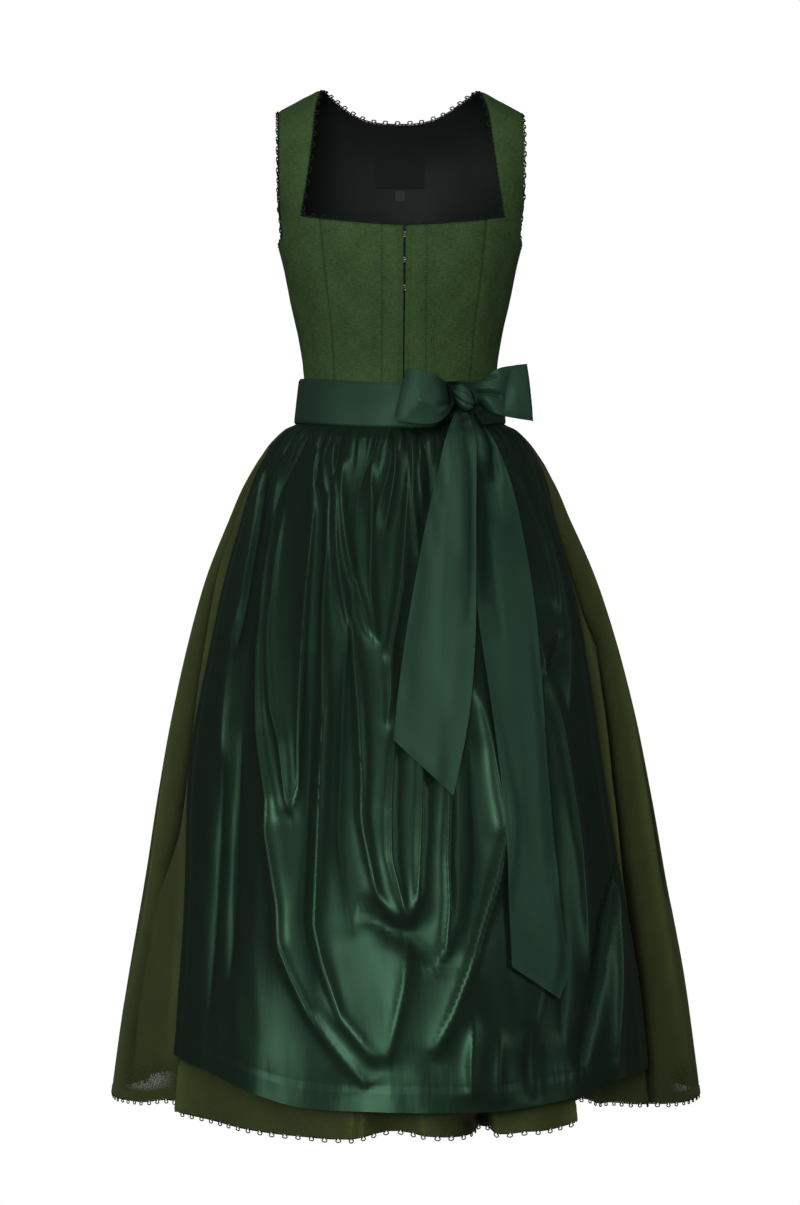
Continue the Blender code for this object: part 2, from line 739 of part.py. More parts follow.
def gather_fade(z):
    """Gathers are small inside the band, fullest just below it, and fade out down the skirt."""
    return (0.3 + 0.7 * ease(z, -400.0, -416.0)) * (1 - ease(z, -425.0, GATHER_END_Z)) ** 1.5


def gather_phase(angle, count, start, end):
    """Counts gathers along an arc, unevenly spaced."""
    share = (np.asarray(angle) - start) / (end - start)
    uneven = 0.006 * np.sin(2 * math.pi * 3 * share) + 0.004 * np.sin(2 * math.pi * 7 * share)
    return count * (share + uneven)


def gather_height(phase):
    uneven = 0.72 + 0.28 * np.sin(phase * 2.1 + 0.7) * np.cos(phase * 0.83)
    return (0.5 - 0.5 * np.cos(2 * math.pi * phase)) * uneven


def skirt_out(angle, z):
    """How far the skirt's outside stands off its plain section."""
    angle = (np.asarray(angle, float) + 180) % 360 - 180
    shown = ease(np.abs(angle), *SHOWN_GATHERS)
    quarter = np.where(angle < 0, -1, 1) * angle
    phase = gather_phase(quarter, 2 * SKIRT_GATHERS_QUARTER, 0.0, 180.0)
    gathers = SKIRT_GATHER_DEPTH * gather_height(phase) * gather_fade(z) * shown
    return around(angle, "out") * wave_share(z) + gathers


def skirt_height(angle, z):
    """The skirt's rows rise and fall towards the hem as the hem does."""
    return z + around(angle, "rise") * ease(z, -900.0, HEM_Z)


def skirt_point(angle, z, extra=0.0):
    angle = np.asarray(angle, float)
    z = np.broadcast_to(np.asarray(z, float), angle.shape)
    point, outward = section(angle, skirt_height(angle, z))
    return point + outward * (skirt_out(angle, z) + extra)[..., None]


WAIST_ROW = -374.3
GATHER_ROWS = (-400.0, -406.0, -422.0)
MIDDLE_ROWS = (-450.0, -500.0, -570.0)
SKIRT_LOW_ROWS = (-660.0, -790.0, -920.0, -1060.0, -1199.0)
WIDEST_STEP = 8.0  # degrees between columns of the skirt's waves


def wave_angles(start, end):
    """Each crest and trough between two seams, and the middle of each long stretch between them."""
    angles = column(SKIRT_WAVES, WAVE_COLUMNS, "angle")
    angles = np.sort(np.concatenate([angles, angles + 360, angles - 360]))
    marks = np.concatenate([[start], angles[(angles > start + 3) & (angles < end - 3)], [end]])
    middles = (marks[1:] + marks[:-1]) / 2
    return np.sort(np.concatenate([marks, middles[np.diff(marks) > WIDEST_STEP]]))


def skirt_panel(name, start, end, gather_angles, middle_count, finish):
    """A length of the skirt between two seams, gathered at the top."""
    gap = math.degrees(SEAM_GAP / 2 / SKIRT_SECTIONS[0][1])
    start, end = start + gap, end - gap
    levels = [(WAIST_ROW, np.linspace(start, end, middle_count // 2))]
    levels += [(z, np.clip(gather_angles, start, end)) for z in GATHER_ROWS]
    levels += [(z, np.linspace(start, end, middle_count)) for z in MIDDLE_ROWS]
    levels += [(z, wave_angles(start, end)) for z in SKIRT_LOW_ROWS]
    rows = []
    for z, angles in levels:
        outside = skirt_point(angles, z)
        inside = skirt_point(angles, z, -SKIRT_WALL)
        rows.append(((angles - start) / (end - start), outside, inside))
    return wall(name, rows, finish)


def apron_edge(z, name):
    return at_height(APRON_EDGES, APRON_EDGE_COLUMNS, name, z)


def apron_folds(angle, z):
    """The main folds, each a soft ridge that starts and ends in the cloth."""
    total = np.zeros_like(angle)
    for fold in APRON_FOLDS:
        start, middle, end, z_start, z_end, half_width, height = fold
        t = np.clip((z_start - z) / (z_start - z_end), 0.0, 1.0)
        centre = start * (1 - t) * (1 - 2 * t) + middle * 4 * t * (1 - t) + end * t * (2 * t - 1)
        swell = np.sin(math.pi * t) ** 0.8
        total = np.maximum(total, height * swell * np.exp(-(((angle - centre) / half_width) ** 2)))
    return total


def apron_out(angle, z, share):
    """How far the apron's inside stands off the skirt's plain section."""
    angles = column(APRON_WAVES, APRON_WAVE_COLUMNS, "angle")
    envelope = smooth(angles, column(APRON_WAVES, APRON_WAVE_COLUMNS, "out"), angle) * wave_share(z)
    phase = gather_phase(share, APRON_GATHERS, 0.0, 1.0)
    gathers = APRON_GATHER_DEPTH * gather_height(phase) * gather_fade(z)
    return APRON_LIFT + envelope + gathers + apron_folds(angle, z)


def apron_point(share, z, extra=0.0):
    """A point of the apron: share runs from its right-hand to its left-hand edge."""
    z = np.broadcast_to(np.asarray(z, float), np.shape(share))
    first, last = apron_edge(z, "right_hand"), apron_edge(z, "left_hand")
    angle = first + (last - first) * share
    hem_angles = column(APRON_HEM, APRON_HEM_COLUMNS, "angle")
    hem = smooth(hem_angles, column(APRON_HEM, APRON_HEM_COLUMNS, "z"), angle)
    reach = (hem - APRON_TOP_Z) / (APRON_LOW_ROWS[-1] - APRON_TOP_Z)
    level = ease(z, APRON_LEVEL_Z, APRON_LOW_ROWS[-1])
    height = APRON_TOP_Z + (z - APRON_TOP_Z) * (1 + (reach - 1) * level)
    point, outward = section(angle, height)
    return point + outward * (apron_out(angle, height, share) + extra)[..., None]


APRON_GATHER_ROWS = (-400.3, -406.0, -422.0)
APRON_LOW_ROWS = (-660.0, -790.0, -920.0, -1060.0, -1172.0)
APRON_MIDDLE_COLUMNS = 54
APRON_LOW_COLUMNS = 40


def apron_panel(finish):
    levels = [(z, 3 * APRON_GATHERS) for z in APRON_GATHER_ROWS]
    levels += [(z, APRON_MIDDLE_COLUMNS) for z in MIDDLE_ROWS]
    levels += [(z, APRON_LOW_COLUMNS) for z in APRON_LOW_ROWS]
    rows = []
    for z, columns in levels:
        share = np.linspace(0.0, 1.0, columns + 1)
        rows.append((share, apron_point(share, z, TAFFETA_WALL), apron_point(share, z)))
    return wall("apron_panel", rows, finish)


def apron_band(finish):
    """The flat waistband, once round over the seam of bodice and skirt."""
    angles = np.arange(BAND_COLUMNS) * 360.0 / BAND_COLUMNS
    rows = []
    for z, *_ in BAND_SECTIONS:
        outside, outward = section(angles, np.full(len(angles), z), BAND_SECTIONS)
        rows.append((angles / 360.0, outside, outside - BAND_WALL * outward))
    return wall("apron_band", rows, finish, ring=True)


# ---------------------------------------------------------------- the bow and its tails


def apron_front_y(x, z):
    """The depth of the apron's outside at a place seen from the front."""
    x = np.asarray(x, float)
    z = np.asarray(z, float)
    angle = np.zeros_like(x)
    height = np.array(z)
    for _ in range(12):
        width = at_height(SKIRT_SECTIONS, SECTION_COLUMNS, "half_width", height)
        first, last = apron_edge(height, "right_hand"), apron_edge(height, "left_hand")
        share = np.clip((angle - first) / (last - first), 0.0, 1.0)
        out = apron_out(angle, height, share) + TAFFETA_WALL
        sway = HEM_SWAY * ease(height, WAVE_TOP_Z, SWAY_END_Z)
        angle = np.degrees(np.arcsin(np.clip((x - sway) / (width + out), -0.98, 0.98)))
        point, outward = section(angle, height)
        height = height + (z - point[..., 2]) * 0.8
    return (point + outward * out[..., None])[..., 1]


def band_front_y(x, z):
    """The depth of the band's outside at a place seen from the front."""
    share = np.minimum(np.abs(x) / BAND_SECTIONS[-1][1], 0.98)
    plain_z = z + WAIST_DIP * (1 - share**2)
    half_width = at_height(BAND_SECTIONS, SECTION_COLUMNS, "half_width", plain_z)
    front = at_height(BAND_SECTIONS, SECTION_COLUMNS, "front", plain_z)
    return -front * np.sqrt(1 - np.minimum(np.abs(x) / half_width, 0.99) ** 2)


def ribbon_tail(name, table, lift, reach, finish):
    """A ribbon hanging over the band's edge and the apron, row by row between its two edges."""
    count = 13
    places = np.linspace(0.0, 1.0, len(table))
    steps = np.linspace(0.0, 1.0, count) ** 1.3
    edges = {key: smooth(places, column(table, TAIL_COLUMNS, key), steps) for key in TAIL_COLUMNS}
    across = np.linspace(0.0, 1.0, 5)
    rows = []
    for k in range(count):
        x = edges["left_x"][k] + (edges["right_x"][k] - edges["left_x"][k]) * across
        z = edges["left_z"][k] + (edges["right_z"][k] - edges["left_z"][k]) * across
        near = [apron_front_y(x + shift, z) for shift in np.linspace(-reach, reach, 9)]
        y = np.minimum(np.min(near, axis=0), band_front_y(x, z)) - lift
        front = np.stack([x, y - TAIL_WALL, z], axis=-1)
        rows.append((across, front, front + np.array((0.0, TAIL_WALL, 0.0))))
    return wall(name, rows, finish)


def bow_loop(name, table, finish):
    """One loop of the bow, open above and below as a folded ribbon is."""
    edge = {key: column(table, LOOP_COLUMNS, key) for key in LOOP_COLUMNS}
    places = np.linspace(0.0, 1.0, len(table))
    rows = []
    for share in np.linspace(0.0, 1.0, 4):
        x = edge["x_top"] + (edge["x_bottom"] - edge["x_top"]) * share
        z = edge["z_top"] + (edge["z_bottom"] - edge["z_top"]) * share
        middle = np.stack([x, edge["y"], z], axis=-1)
        along = np.gradient(middle, axis=0)
        sideways = np.stack([-along[:, 1], along[:, 0], np.zeros(len(x))], axis=-1)
        sideways /= np.linalg.norm(sideways, axis=1, keepdims=True)
        inward = sideways * math.copysign(1.0, sideways[1, 1])
        swell = LOOP_SWELL * math.sin(math.pi * share) * np.sin(math.pi * np.minimum(places * 2, 1.0))
        outside = middle - inward * swell[:, None]
        rows.append((places, outside, outside + inward * TAFFETA_WALL))
    return wall(name, rows, finish)


def bow_knot(finish):
    """The wrapped knot, a tilted pillow whose back is seated on the band."""
    mesh = bpy.data.meshes.new("bow_knot")
    work = bmesh.new()
    bmesh.ops.create_uvsphere(work, u_segments=12, v_segments=8, radius=1.0)
    lean = math.radians(KNOT_TILT)
    for point in work.verts:
        pillow = [math.copysign(abs(value) ** KNOT_SQUARENESS, value) for value in point.co]
        x, y, z = (value * size for value, size in zip(pillow, KNOT_HALF_SIZE))
        place_x = KNOT_CENTRE[0] + x * math.cos(lean) + z * math.sin(lean)
        place_z = KNOT_CENTRE[2] + z * math.cos(lean) - x * math.sin(lean)
        place_y = min(KNOT_CENTRE[1] + y, float(band_front_y(place_x, place_z)) - KNOT_SEAT)
        point.co = (place_x * METRE, place_y * METRE, place_z * METRE)
    bmesh.ops.recalc_face_normals(work, faces=work.faces)
    work.to_mesh(mesh)
    work.free()
    mesh.shade_smooth()
    made = bpy.data.objects.new("bow_knot", mesh)
    made.data.materials.append(finish)
    bpy.context.scene.collection.objects.link(made)
    return made


# ---------------------------------------------------------------- picot edging


def loop_points(edge, outward, facing, pitch, closed):
    """The picot thread along an edge: a stretch beside the cloth, then a loop, evenly spaced."""
    edge = np.asarray(edge, float)
    if closed:
        edge = np.vstack([edge, edge[:1]])
        outward = np.vstack([outward, outward[:1]])
        facing = np.vstack([facing, facing[:1]])
    step = np.linalg.norm(np.diff(edge, axis=0), axis=1)
    length = np.concatenate([[0.0], np.cumsum(step)])
    count = max(1, round(length[-1] / pitch))
    pitch = length[-1] / count
    path = []
    turned = []
    for k in range(count):
        middle = (k + 0.5) * pitch
        for along, up in PICOT_TURNS:
            at = middle + along * PICOT_WIDTH
            place = [np.interp(at, length, edge[:, axis]) for axis in range(3)]
            away = np.array([np.interp(at, length, outward[:, axis]) for axis in range(3)])
            away /= np.linalg.norm(away)
            lift = SEAM_GAP + PICOT_THREAD / 2 + up * (PICOT_HEIGHT - PICOT_THREAD)
            path.append(np.array(place) + away * lift)
            turned.append([np.interp(at, length, facing[:, axis]) for axis in range(3)])
    return path, turned


def torso_edge(angle, path):
    """Points of an edge on the bodice's form, in the middle of its wall, with the cloth's normal."""
    points = torso(angle, path)
    normal = torso_normal(angle, path)
    return points - normal * LINEN_WALL / 2, normal


def edge_outward(points, normal, closed=False):
    """Away from the cloth in its own plane, to the left of the way the edge runs."""
    if closed:
        along = np.roll(points, -1, axis=0) - np.roll(points, 1, axis=0)
    else:
        along = np.gradient(points, axis=0)
    along /= np.linalg.norm(along, axis=1, keepdims=True)
    return np.cross(normal, along)


def neckline_edge():
    """The whole neckline, from the closing round the back of the neck to the closing again."""
    centre_angle, centre_path = front_centre_grid()
    side_angle, side_path = front_side_grid()
    back_angle, back_path = back_centre_grid()
    first = len(SIDE_HEIGHTS) - 1
    middle = back_angle.shape[1] // 2
    neck = middle + BACK_NECK_COLUMNS
    angle = [*centre_angle[-1, :-1], *side_angle[first:, 0], *back_angle[-1, neck:middle - 1:-1]]
    path = [*centre_path[-1, :-1], *side_path[first:, 0], *back_path[-1, neck:middle - 1:-1]]
    angle = np.concatenate([angle, -np.array(angle[-2::-1])])
    return torso_edge(angle, np.concatenate([path, path[-2::-1]]))


def armhole_edge(side):
    """One armhole, once round, from the underarm up the front and down the back."""
    front_angle, front_path = front_side_grid()
    strap_angle, strap_path = back_centre_grid()
    back_angle, back_path = back_side_grid()
    under = SIDE_HEIGHTS.index(UNDERARM_Z)
    back_under = BACK_HEIGHTS.index(UNDERARM_Z)
    meet = len(BACK_HEIGHTS)
    angle = [*front_angle[under:, -1], *strap_angle[:meet - 1:-1, -1], *back_angle[:back_under:-1, -1]]
    path = [*front_path[under:, -1], *strap_path[:meet - 1:-1, -1], *back_path[:back_under:-1, -1]]
    return torso_edge(side * np.array(angle), np.array(path))


def picot(name, points, normal, pitch, closed, turn, finish):
    outward = edge_outward(points, normal, closed) * turn
    path, facing = loop_points(points, outward, normal, pitch, closed)
    return tube(name, path, PICOT_THREAD / 2, finish, closed=closed, facing=facing)


def picot_hem(finish):
    angles = wave_angles(-180.0, 180.0)[:-1]
    points = skirt_point(angles, HEM_Z, -SKIRT_WALL / 2)
    down = np.repeat([[0.0, 0.0, -1.0]], len(angles), axis=0)
    facing = skirt_point(angles, HEM_Z, 1.0) - skirt_point(angles, HEM_Z)
    path, turned = loop_points(points, down, facing, HEM_PITCH, True)
    return tube("picot_hem", path, PICOT_THREAD / 2, finish, closed=True, facing=turned)


# ---------------------------------------------------------------- the dress


def clear_scene():
    for old in list(bpy.data.objects):
        bpy.data.objects.remove(old)


def build_bodice(linen, satin, woven, metal):
    bodice_front(linen)
    bodice_back(linen, satin)
    sewn_patch("label_blank", LABEL_X, LABEL_Z, woven)
    sewn_patch("size_tag_blank", TAG_X, TAG_Z, woven)
    for number in range(len(HOOK_HEIGHTS)):
        front_hook(number, metal)


def build_skirt(cloth):
    quarter = np.linspace(90.0, 180.0, 3 * SKIRT_GATHERS_QUARTER + 1)
    shown = np.linspace(73.0, 90.0, 9)
    front = np.concatenate([-shown[::-1], np.linspace(-63.0, 63.0, 13), shown])
    skirt_panel("skirt_front", -90.0, 90.0, front, 27, cloth)
    skirt_panel("skirt_back_left", 90.0, 180.0, quarter, 22, cloth)
    skirt_panel("skirt_back_right", 180.0, 270.0, quarter + 90.0, 22, cloth)


def build_apron(taffeta, ribbon):
    apron_panel(taffeta)
    apron_band(ribbon)
    bow_loop("bow_loop_right_hand", RIGHT_HAND_LOOP, ribbon)
    bow_loop("bow_loop_left_hand", LEFT_HAND_LOOP, ribbon)
    bow_knot(ribbon)
    ribbon_tail("ribbon_tail_long", LONG_TAIL, TAIL_LIFT, LONG_TAIL_REACH, ribbon)
    lift = TAIL_LIFT + TAIL_WALL + TAILS_APART
    ribbon_tail("ribbon_tail_short", SHORT_TAIL, lift, SHORT_TAIL_REACH, ribbon)


def build_trim(thread):
    points, normal = neckline_edge()
    picot("picot_neckline", points, normal, NECK_PITCH, False, 1.0, thread)
    for side, name in ((1, "picot_armhole_left"), (-1, "picot_armhole_right")):
        points, normal = armhole_edge(side)
        picot(name, points, normal, ARMHOLE_PITCH, True, -side, thread)
    picot_hem(thread)


def main():
    clear_scene()
    linen = material("bodice linen", (0.034, 0.065, 0.024), 0.9)
    cloth = material("skirt cloth", (0.038, 0.048, 0.016), 0.85)
    taffeta = material("apron taffeta", (0.012, 0.032, 0.02), 0.35)
    ribbon = material("ribbon taffeta", (0.022, 0.055, 0.034), 0.38)
    satin = material("lining satin", (0.007, 0.009, 0.009), 0.35)
    woven = material("woven label", (0.01, 0.011, 0.011), 0.6)
    metal = material("hook metal", (0.6, 0.6, 0.58), 0.3, 1.0)
    thread = material("picot thread", (0.008, 0.016, 0.011), 0.8)
    build_bodice(linen, satin, woven, metal)
    build_skirt(cloth)
    build_apron(taffeta, ribbon)
    build_trim(thread)


main()
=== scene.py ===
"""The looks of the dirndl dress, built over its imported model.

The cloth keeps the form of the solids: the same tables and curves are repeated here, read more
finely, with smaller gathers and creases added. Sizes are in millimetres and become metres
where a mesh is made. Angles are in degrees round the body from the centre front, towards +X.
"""

import math

import bmesh
import bpy
import numpy as np
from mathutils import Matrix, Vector
from mathutils.bvhtree import BVHTree


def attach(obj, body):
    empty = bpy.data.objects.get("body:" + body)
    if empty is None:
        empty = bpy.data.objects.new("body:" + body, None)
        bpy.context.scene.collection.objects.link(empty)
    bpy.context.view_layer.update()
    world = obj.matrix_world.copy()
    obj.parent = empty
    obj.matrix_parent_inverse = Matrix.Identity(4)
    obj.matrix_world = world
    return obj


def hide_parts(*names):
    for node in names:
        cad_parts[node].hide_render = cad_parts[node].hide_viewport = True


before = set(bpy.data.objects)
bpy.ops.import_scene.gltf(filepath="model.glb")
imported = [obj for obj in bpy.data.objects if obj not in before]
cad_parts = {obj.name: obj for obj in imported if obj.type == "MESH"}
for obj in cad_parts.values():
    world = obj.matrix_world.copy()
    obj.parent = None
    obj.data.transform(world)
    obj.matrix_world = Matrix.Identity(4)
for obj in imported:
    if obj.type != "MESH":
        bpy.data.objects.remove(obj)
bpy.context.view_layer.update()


def table(names, *rows):
    """Columns by name, from rows of numbers."""
    return dict(zip(names.split(), np.array(rows, float).T))


def folds(text):
    """Folds, one a line: height, width before and after the crest, its radius, and places."""
    rows = [np.array(row.split(), float) for row in text.strip().splitlines()]
    return [(*row[:4], row[4:].reshape(-1, 2)) for row in rows]


# ---------------------------------------------------------------- the form, as in the solids

METRE = 0.001
LINEN_WALL = 1.6
LINING_WALL = 1.0
SKIRT_WALL = 1.2
TAFFETA_WALL = 1.2
BAND_WALL = 2.2
SEAM_GAP = 0.3
SEAM_HALF_ANGLE = 0.09  # degrees: half a seam's gap at the bodice's radius

UNDERARM_Z = -190.0
WAIST_DIP = 10.0  # how much lower the waistline is at the centre front
DIP_ABOVE, DIP_BELOW = (-280.0, -345.0), (-420.0, -680.0)  # where the dip comes in and dies away
SHOULDER_SLOPE = 0.53
SLOPE_END = (20.0, 190.0)  # along the profile, where the shoulders' slope dies away
NECK_ROUNDING = 3.0  # how softly that slope starts at the neck
NECK_X = 95.0
ARMHOLE_X = 146.0

# The bodice from the shoulder ridge down: its depth from the shoulder plane at the centre line, to
# the front and to the back, and the half width of the whole form.
PROFILE = table(
    "z front back half_width",
    (0, 0, 0, 191), (-8, 32, 34, 189.5), (-25, 57, 60, 186), (-60, 85, 84, 177),
    (-100, 103, 96, 166), (-140, 114, 100, 156), (-165, 119.5, 101, 150.5), (-185, 122, 101, 147),
    (-211, 122.5, 99.5, 140.5), (-255, 116, 95, 131.5), (-300, 106, 91, 121.5),
    (-345, 97, 88, 115.5), (-374, 94, 88, 115),
)

# Cut lines of the bodice, as half widths at heights. The armhole's scoop is in degrees at heights.
PRINCESS_SEAM = ((-374, 79), (-300, 84), (-230, 92), (-165, 98.7))
STRAP_INNER_EDGE = ((-160, 121), (-105, 112), (-60, 106.5), (-20, 101.5), (0, NECK_X))
ARMHOLE_UNDER = ((-190, 90), (-183, 77.5), (-165, 72.5), (-150, 70.2), (-135, 68.2))
BACK_SEAM = ((-374, 56), (-300, 62), (-240, 75), (-200, 91), (-160, 115), (-122, 144))
NECKLINE_CENTRE_Z = -175.5
NECKLINE_SEAM_Z = -165.0
BACK_NECK_Z = -30.5
BACK_NECK_ROUND = 2.9  # 2 is a round scoop, more is squarer
CLOSING_GAP_TOP = 3.0
CLOSING_GAP_WAIST = 0.8

SIDE_HEIGHTS = (-374, -338, -295, -250, -214, -190, -183, -165)
STRAP_HEIGHTS = (-160, -135, -100, -70, -44, -23, -9, -2.2)
BACK_HEIGHTS = (*SIDE_HEIGHTS[:-1], -160, -140, -122)
BACK_STRAP_HEIGHTS = (-90, -58, -32, -13, -3.5)

# Level sections of the skirt, and of the waistband to its outside.
SKIRT_SECTIONS = table(
    "z half_width front back",
    (-374.3, 115, 94, 88), (-386, 117.5, 97, 91), (-400, 121.5, 101, 95), (-405, 130, 106, 101),
    (-420, 148, 120, 114), (-440, 164, 134, 128), (-470, 183, 150, 144), (-520, 206, 172, 165),
    (-580, 231.5, 195, 187), (-650, 253.5, 218, 209), (-740, 275.5, 241, 232),
    (-840, 294, 261, 253), (-950, 311, 280, 274), (-1060, 330, 295, 290), (-1199, 348, 310, 305),
)
BAND_SECTIONS = table(
    "z half_width front back",
    (-347, 122, 101.5, 94.5), (-373, 125.5, 104.5, 98), (-399.7, 127.8, 105.5, 99.5),
)
BAND_TOP_Z = -347.0
BAND_LOW_Z = -399.7
HEM_Z = -1199.0
SKIRT_HEM = 9.5  # how deep the skirt's hem is
HEM_SWAY = 8.0  # the skirt hangs a little to the wearer's left
SWAY_END_Z = -1100.0

# The skirt's waves at its hem, once round: where, how far out, and how much the hem rises.
SKIRT_WAVES = table(
    "angle out rise",
    (-84, 0, 0), (-72, -14, 4), (-59, -26, 7), (-52, -18, 5), (-43, -12, 3), (-32, 4, 0),
    (-22, 10, -2), (-12, 12, -2), (-5.5, -12, 3), (4, 9, -1), (9, 6, -1), (15, -18, 4),
    (21, -1, 0), (30, -12, 3), (37, -24, 11), (45, -44, 14), (58, -44, 5), (68, -22, 0),
    (78, -6, -3), (89, 4, -2), (102, -14, 1), (113, 10, -1), (124, -16, 2), (137, 12, -1),
    (150, -18, 2), (163, 9, -1), (176, -13, 1), (189, 11, -1), (202, -15, 2), (214, 13, -1),
    (227, -17, 2), (239, 10, -1), (251, -12, 1), (263, 5, 0),
)
WAVE_POWER = 1.6
GATHER_TOP_Z = -400.0  # where waves and gathers start, and the apron
SKIRT_GATHERS = 28  # round half the skirt
APRON_GATHERS = 33
# Small and large gathers: depth, shortest, longest, and the seed of their draws.
SKIRT_SMALL, SKIRT_LARGE = (3.4, 40.0, 190.0, 5), (5.5, 120.0, 420.0, 8)
APRON_SMALL, APRON_LARGE = (4.2, 16.0, 80.0, 12), (6.4, 60.0, 260.0, 14)

# The apron's side edges, hem, and waves at its hem.
APRON_EDGES = table(
    "z right_hand left_hand",
    (-400, -76, 76), (-440, -71, 70), (-500, -66.5, 60.5), (-570, -63.5, 55.5), (-660, -62, 53.5),
    (-800, -63, 52), (-930, -59.5, 54), (-1030, -57, 56.5), (-1145, -55.5, 58.5),
)
APRON_HEM = (
    (-54, -1131), (-42, -1142), (-32, -1156), (-22, -1168), (-8, -1171), (6, -1173), (15, -1173),
    (24, -1169), (34, -1163), (44, -1155), (54, -1153),
)
APRON_WAVES = (
    (-62, -17), (-50, -10), (-40, -3), (-30, 10), (-20, 16), (-9, 17), (2, 15), (12, 13), (20, 6),
    (30, -2), (40, -16), (50, -28), (58, -30),
)
APRON_LIFT = 2.0  # clear of the skirt, between the layers
APRON_LEVEL_Z = -700.0  # the rows are level down to here, then turn towards the hem
APRON_LOW_Z = -1172.0
APRON_HEM_DEPTH = 26.0
APRON_SIDE_HEM = 6.5
APRON_WIDTH = 560.0  # about, over its folds

# The ribbon's tails, row by row: their left and right edge as they hang.
TAIL_COLUMNS = "left_x left_z right_x right_z"
SHORT_TAIL = table(
    TAIL_COLUMNS,
    (60, -392.4, 75, -391.4), (54, -406, 80, -403), (46, -427, 83, -424), (37, -462, 82, -460),
    (25, -508, 80, -508), (11, -572, 78, -575), (-3, -645, 75, -656), (-13, -712, 66, -742),
    (-19, -767, 47, -828),
)
LONG_TAIL = table(
    TAIL_COLUMNS,
    (70, -395.5, 84, -391.5), (66, -408, 94, -404), (65, -430, 106, -426), (67, -465, 118, -458),
    (71, -520, 132, -515), (79, -625, 146, -612), (92, -730, 153, -712), (105, -850, 160, -832),
    (108, -940, 169, -945), (110, -990, 178, -1020), (111, -1017, 166, -1055),
)
TAIL_WALL = 1.2
TAIL_LIFT = 0.2  # off the highest place behind it
TAILS_APART = 2.2
RIBBON_HEMS = (3.6, 6.6)  # along the tails' edges and at their ends

# Each loop of the bow leaves the knot, turns back at its far end and returns behind, station by
# station: where its upper and lower edges are, its depth, and their heights.
LOOP_COLUMNS = "x_top x_bottom y z_top z_bottom"
RIGHT_HAND_LOOP = table(
    LOOP_COLUMNS,
    (55.3, 60.3, -105, -365, -381), (47, 50, -118, -357, -396), (35, 38, -128, -350, -405),
    (18, 20, -131, -346, -407), (6, -3, -128, -344, -404), (1, -12, -120, -345, -398),
    (6, -3, -113, -346, -401), (20, 18, -110.5, -350, -403), (36, 36, -108, -354, -400),
    (48, 48, -104, -358, -393), (54.8, 59.8, -99, -366, -381),
)
LEFT_HAND_LOOP = table(
    LOOP_COLUMNS,
    (79.2, 84, -103, -362, -380), (95, 97, -107, -352, -389), (110, 112, -107.5, -341, -395),
    (128, 132, -104, -337, -399), (141, 148, -99, -335, -401), (145, 152.3, -94.5, -334.6, -401.4),
    (140, 147, -91, -336, -400), (127, 131, -91, -339, -398), (111, 111, -92.5, -344, -394),
    (97, 97, -94, -352, -387), (79.7, 84.5, -96, -363, -380),
)
LOOP_SWELL = 3.0
KNOT_CENTRE = (70.5, -95.0, -374.5)
KNOT_HALF_SIZE = (10.5, 13.0, 17.0)
KNOT_TILT = -30.0
KNOT_SEAT = 0.4  # off the band behind it
KNOT_SQUARENESS = 0.75  # 1 is an egg, less is a pillow

# Picot loops: width across a loop, height, thread, and pitch along each edge.
PICOT_WIDTH = 6.4
PICOT_HEIGHT = 5.2
PICOT_THREAD = 1.3
NECK_PITCH = 15.0
ARMHOLE_PITCH = 13.0
HEM_PITCH = 16.0

LABEL = ((-26.5, 33.5), (-63.0, -105.0))  # from side to side, and from top to bottom
TAG = ((-1.5, 10.5), (-107.5, -120.0))
LABEL_WALL = 0.8
LABEL_GAP = 0.4

HOOK_HEIGHTS = (-186.0, -216.0, -248.0)
HOOK_WIRE = 1.1
HOOK_WIDTH = 7.0
HOOK_TALL = 5.0
HOOK_SETBACK = 0.7  # behind the closing's inner face

# ---------------------------------------------------------------- creases placed one by one

# Ridges, and troughs where the height is negative. A place is an angle and a height. Before is the
# side towards lower angles of a line that runs down, so the lower side of one that runs towards
# higher ones.
SKIRT_FOLDS = folds("""
-13 5 9 2  -78 -450  -76 -565  -72.5 -625  -70 -680  -68 -785  -70 -880  -77 -970
-4 9 9 5  -76 -960  -77 -1035  -78 -1095  -77 -1190
5 11 8 5  -81 -440  -78 -620  -77 -860  -79 -1120
7 9 8 5  -68 -560  -63 -800  -59 -1010  -60 -1160
-14 7 5 2  63 -470  61 -560  62 -625  66 -665  64 -730  62.5 -820  62.5 -905  63.5 -960\
  63.5 -1020  64 -1145  64 -1250
5 4 4 1  59 -600  59.5 -700  57.5 -820  58 -960  59.5 -1075  60.5 -1140
8 8 9 4  71 -430  73 -640  72 -860  73 -1060  76 -1190
-8 7 8 4  83 -450  82 -640  83 -830  82 -980
3 8 8 5  91 -520  92 -760  93 -1000  93 -1190
-4 8 8 6  -88 -430  -90 -640  -87 -880  -88 -1100
""")
# Sharper folds where the front hem shows below the apron.
HEM_FOLDS = folds("""
9 2 16 0.8  -54.2 -1010  -54.5 -1180  -54.8 -1400
-7 7 3 1  -56.1 -1010  -56.4 -1180  -56.8 -1400
7 2.5 3 0.7  -12 -1010  -11.8 -1400
6 2.5 3 0.7  -10.1 -1010  -9.8 -1400
8 3 4 0.7  0.4 -1010  0.8 -1400
-30 12 4 2  12.4 -1010  12.8 -1400
10 1.5 12 0.8  14.6 -1010  14.8 -1400
8 12 2 0.8  31.6 -1010  32 -1400
-7 2 14 1  33.2 -1010  33.6 -1400
""")
# Where one fold's edge hangs lower than the next: the rise, and where it comes in and dies away.
HEM_STEPS = ((6, (-54, -55), (-72, -60)), (-7, (14, 14.8), (21, 16)), (19, (31.8, 33), (45, 33)))
# Places of the front's sharper folds and how far each reaches, where its columns stand closer.
FINE_PLACES = ((-71, 10), (-55, 3), (-11, 3), (0.6, 2), (13.5, 3), (32.5, 2.5), (64, 9))
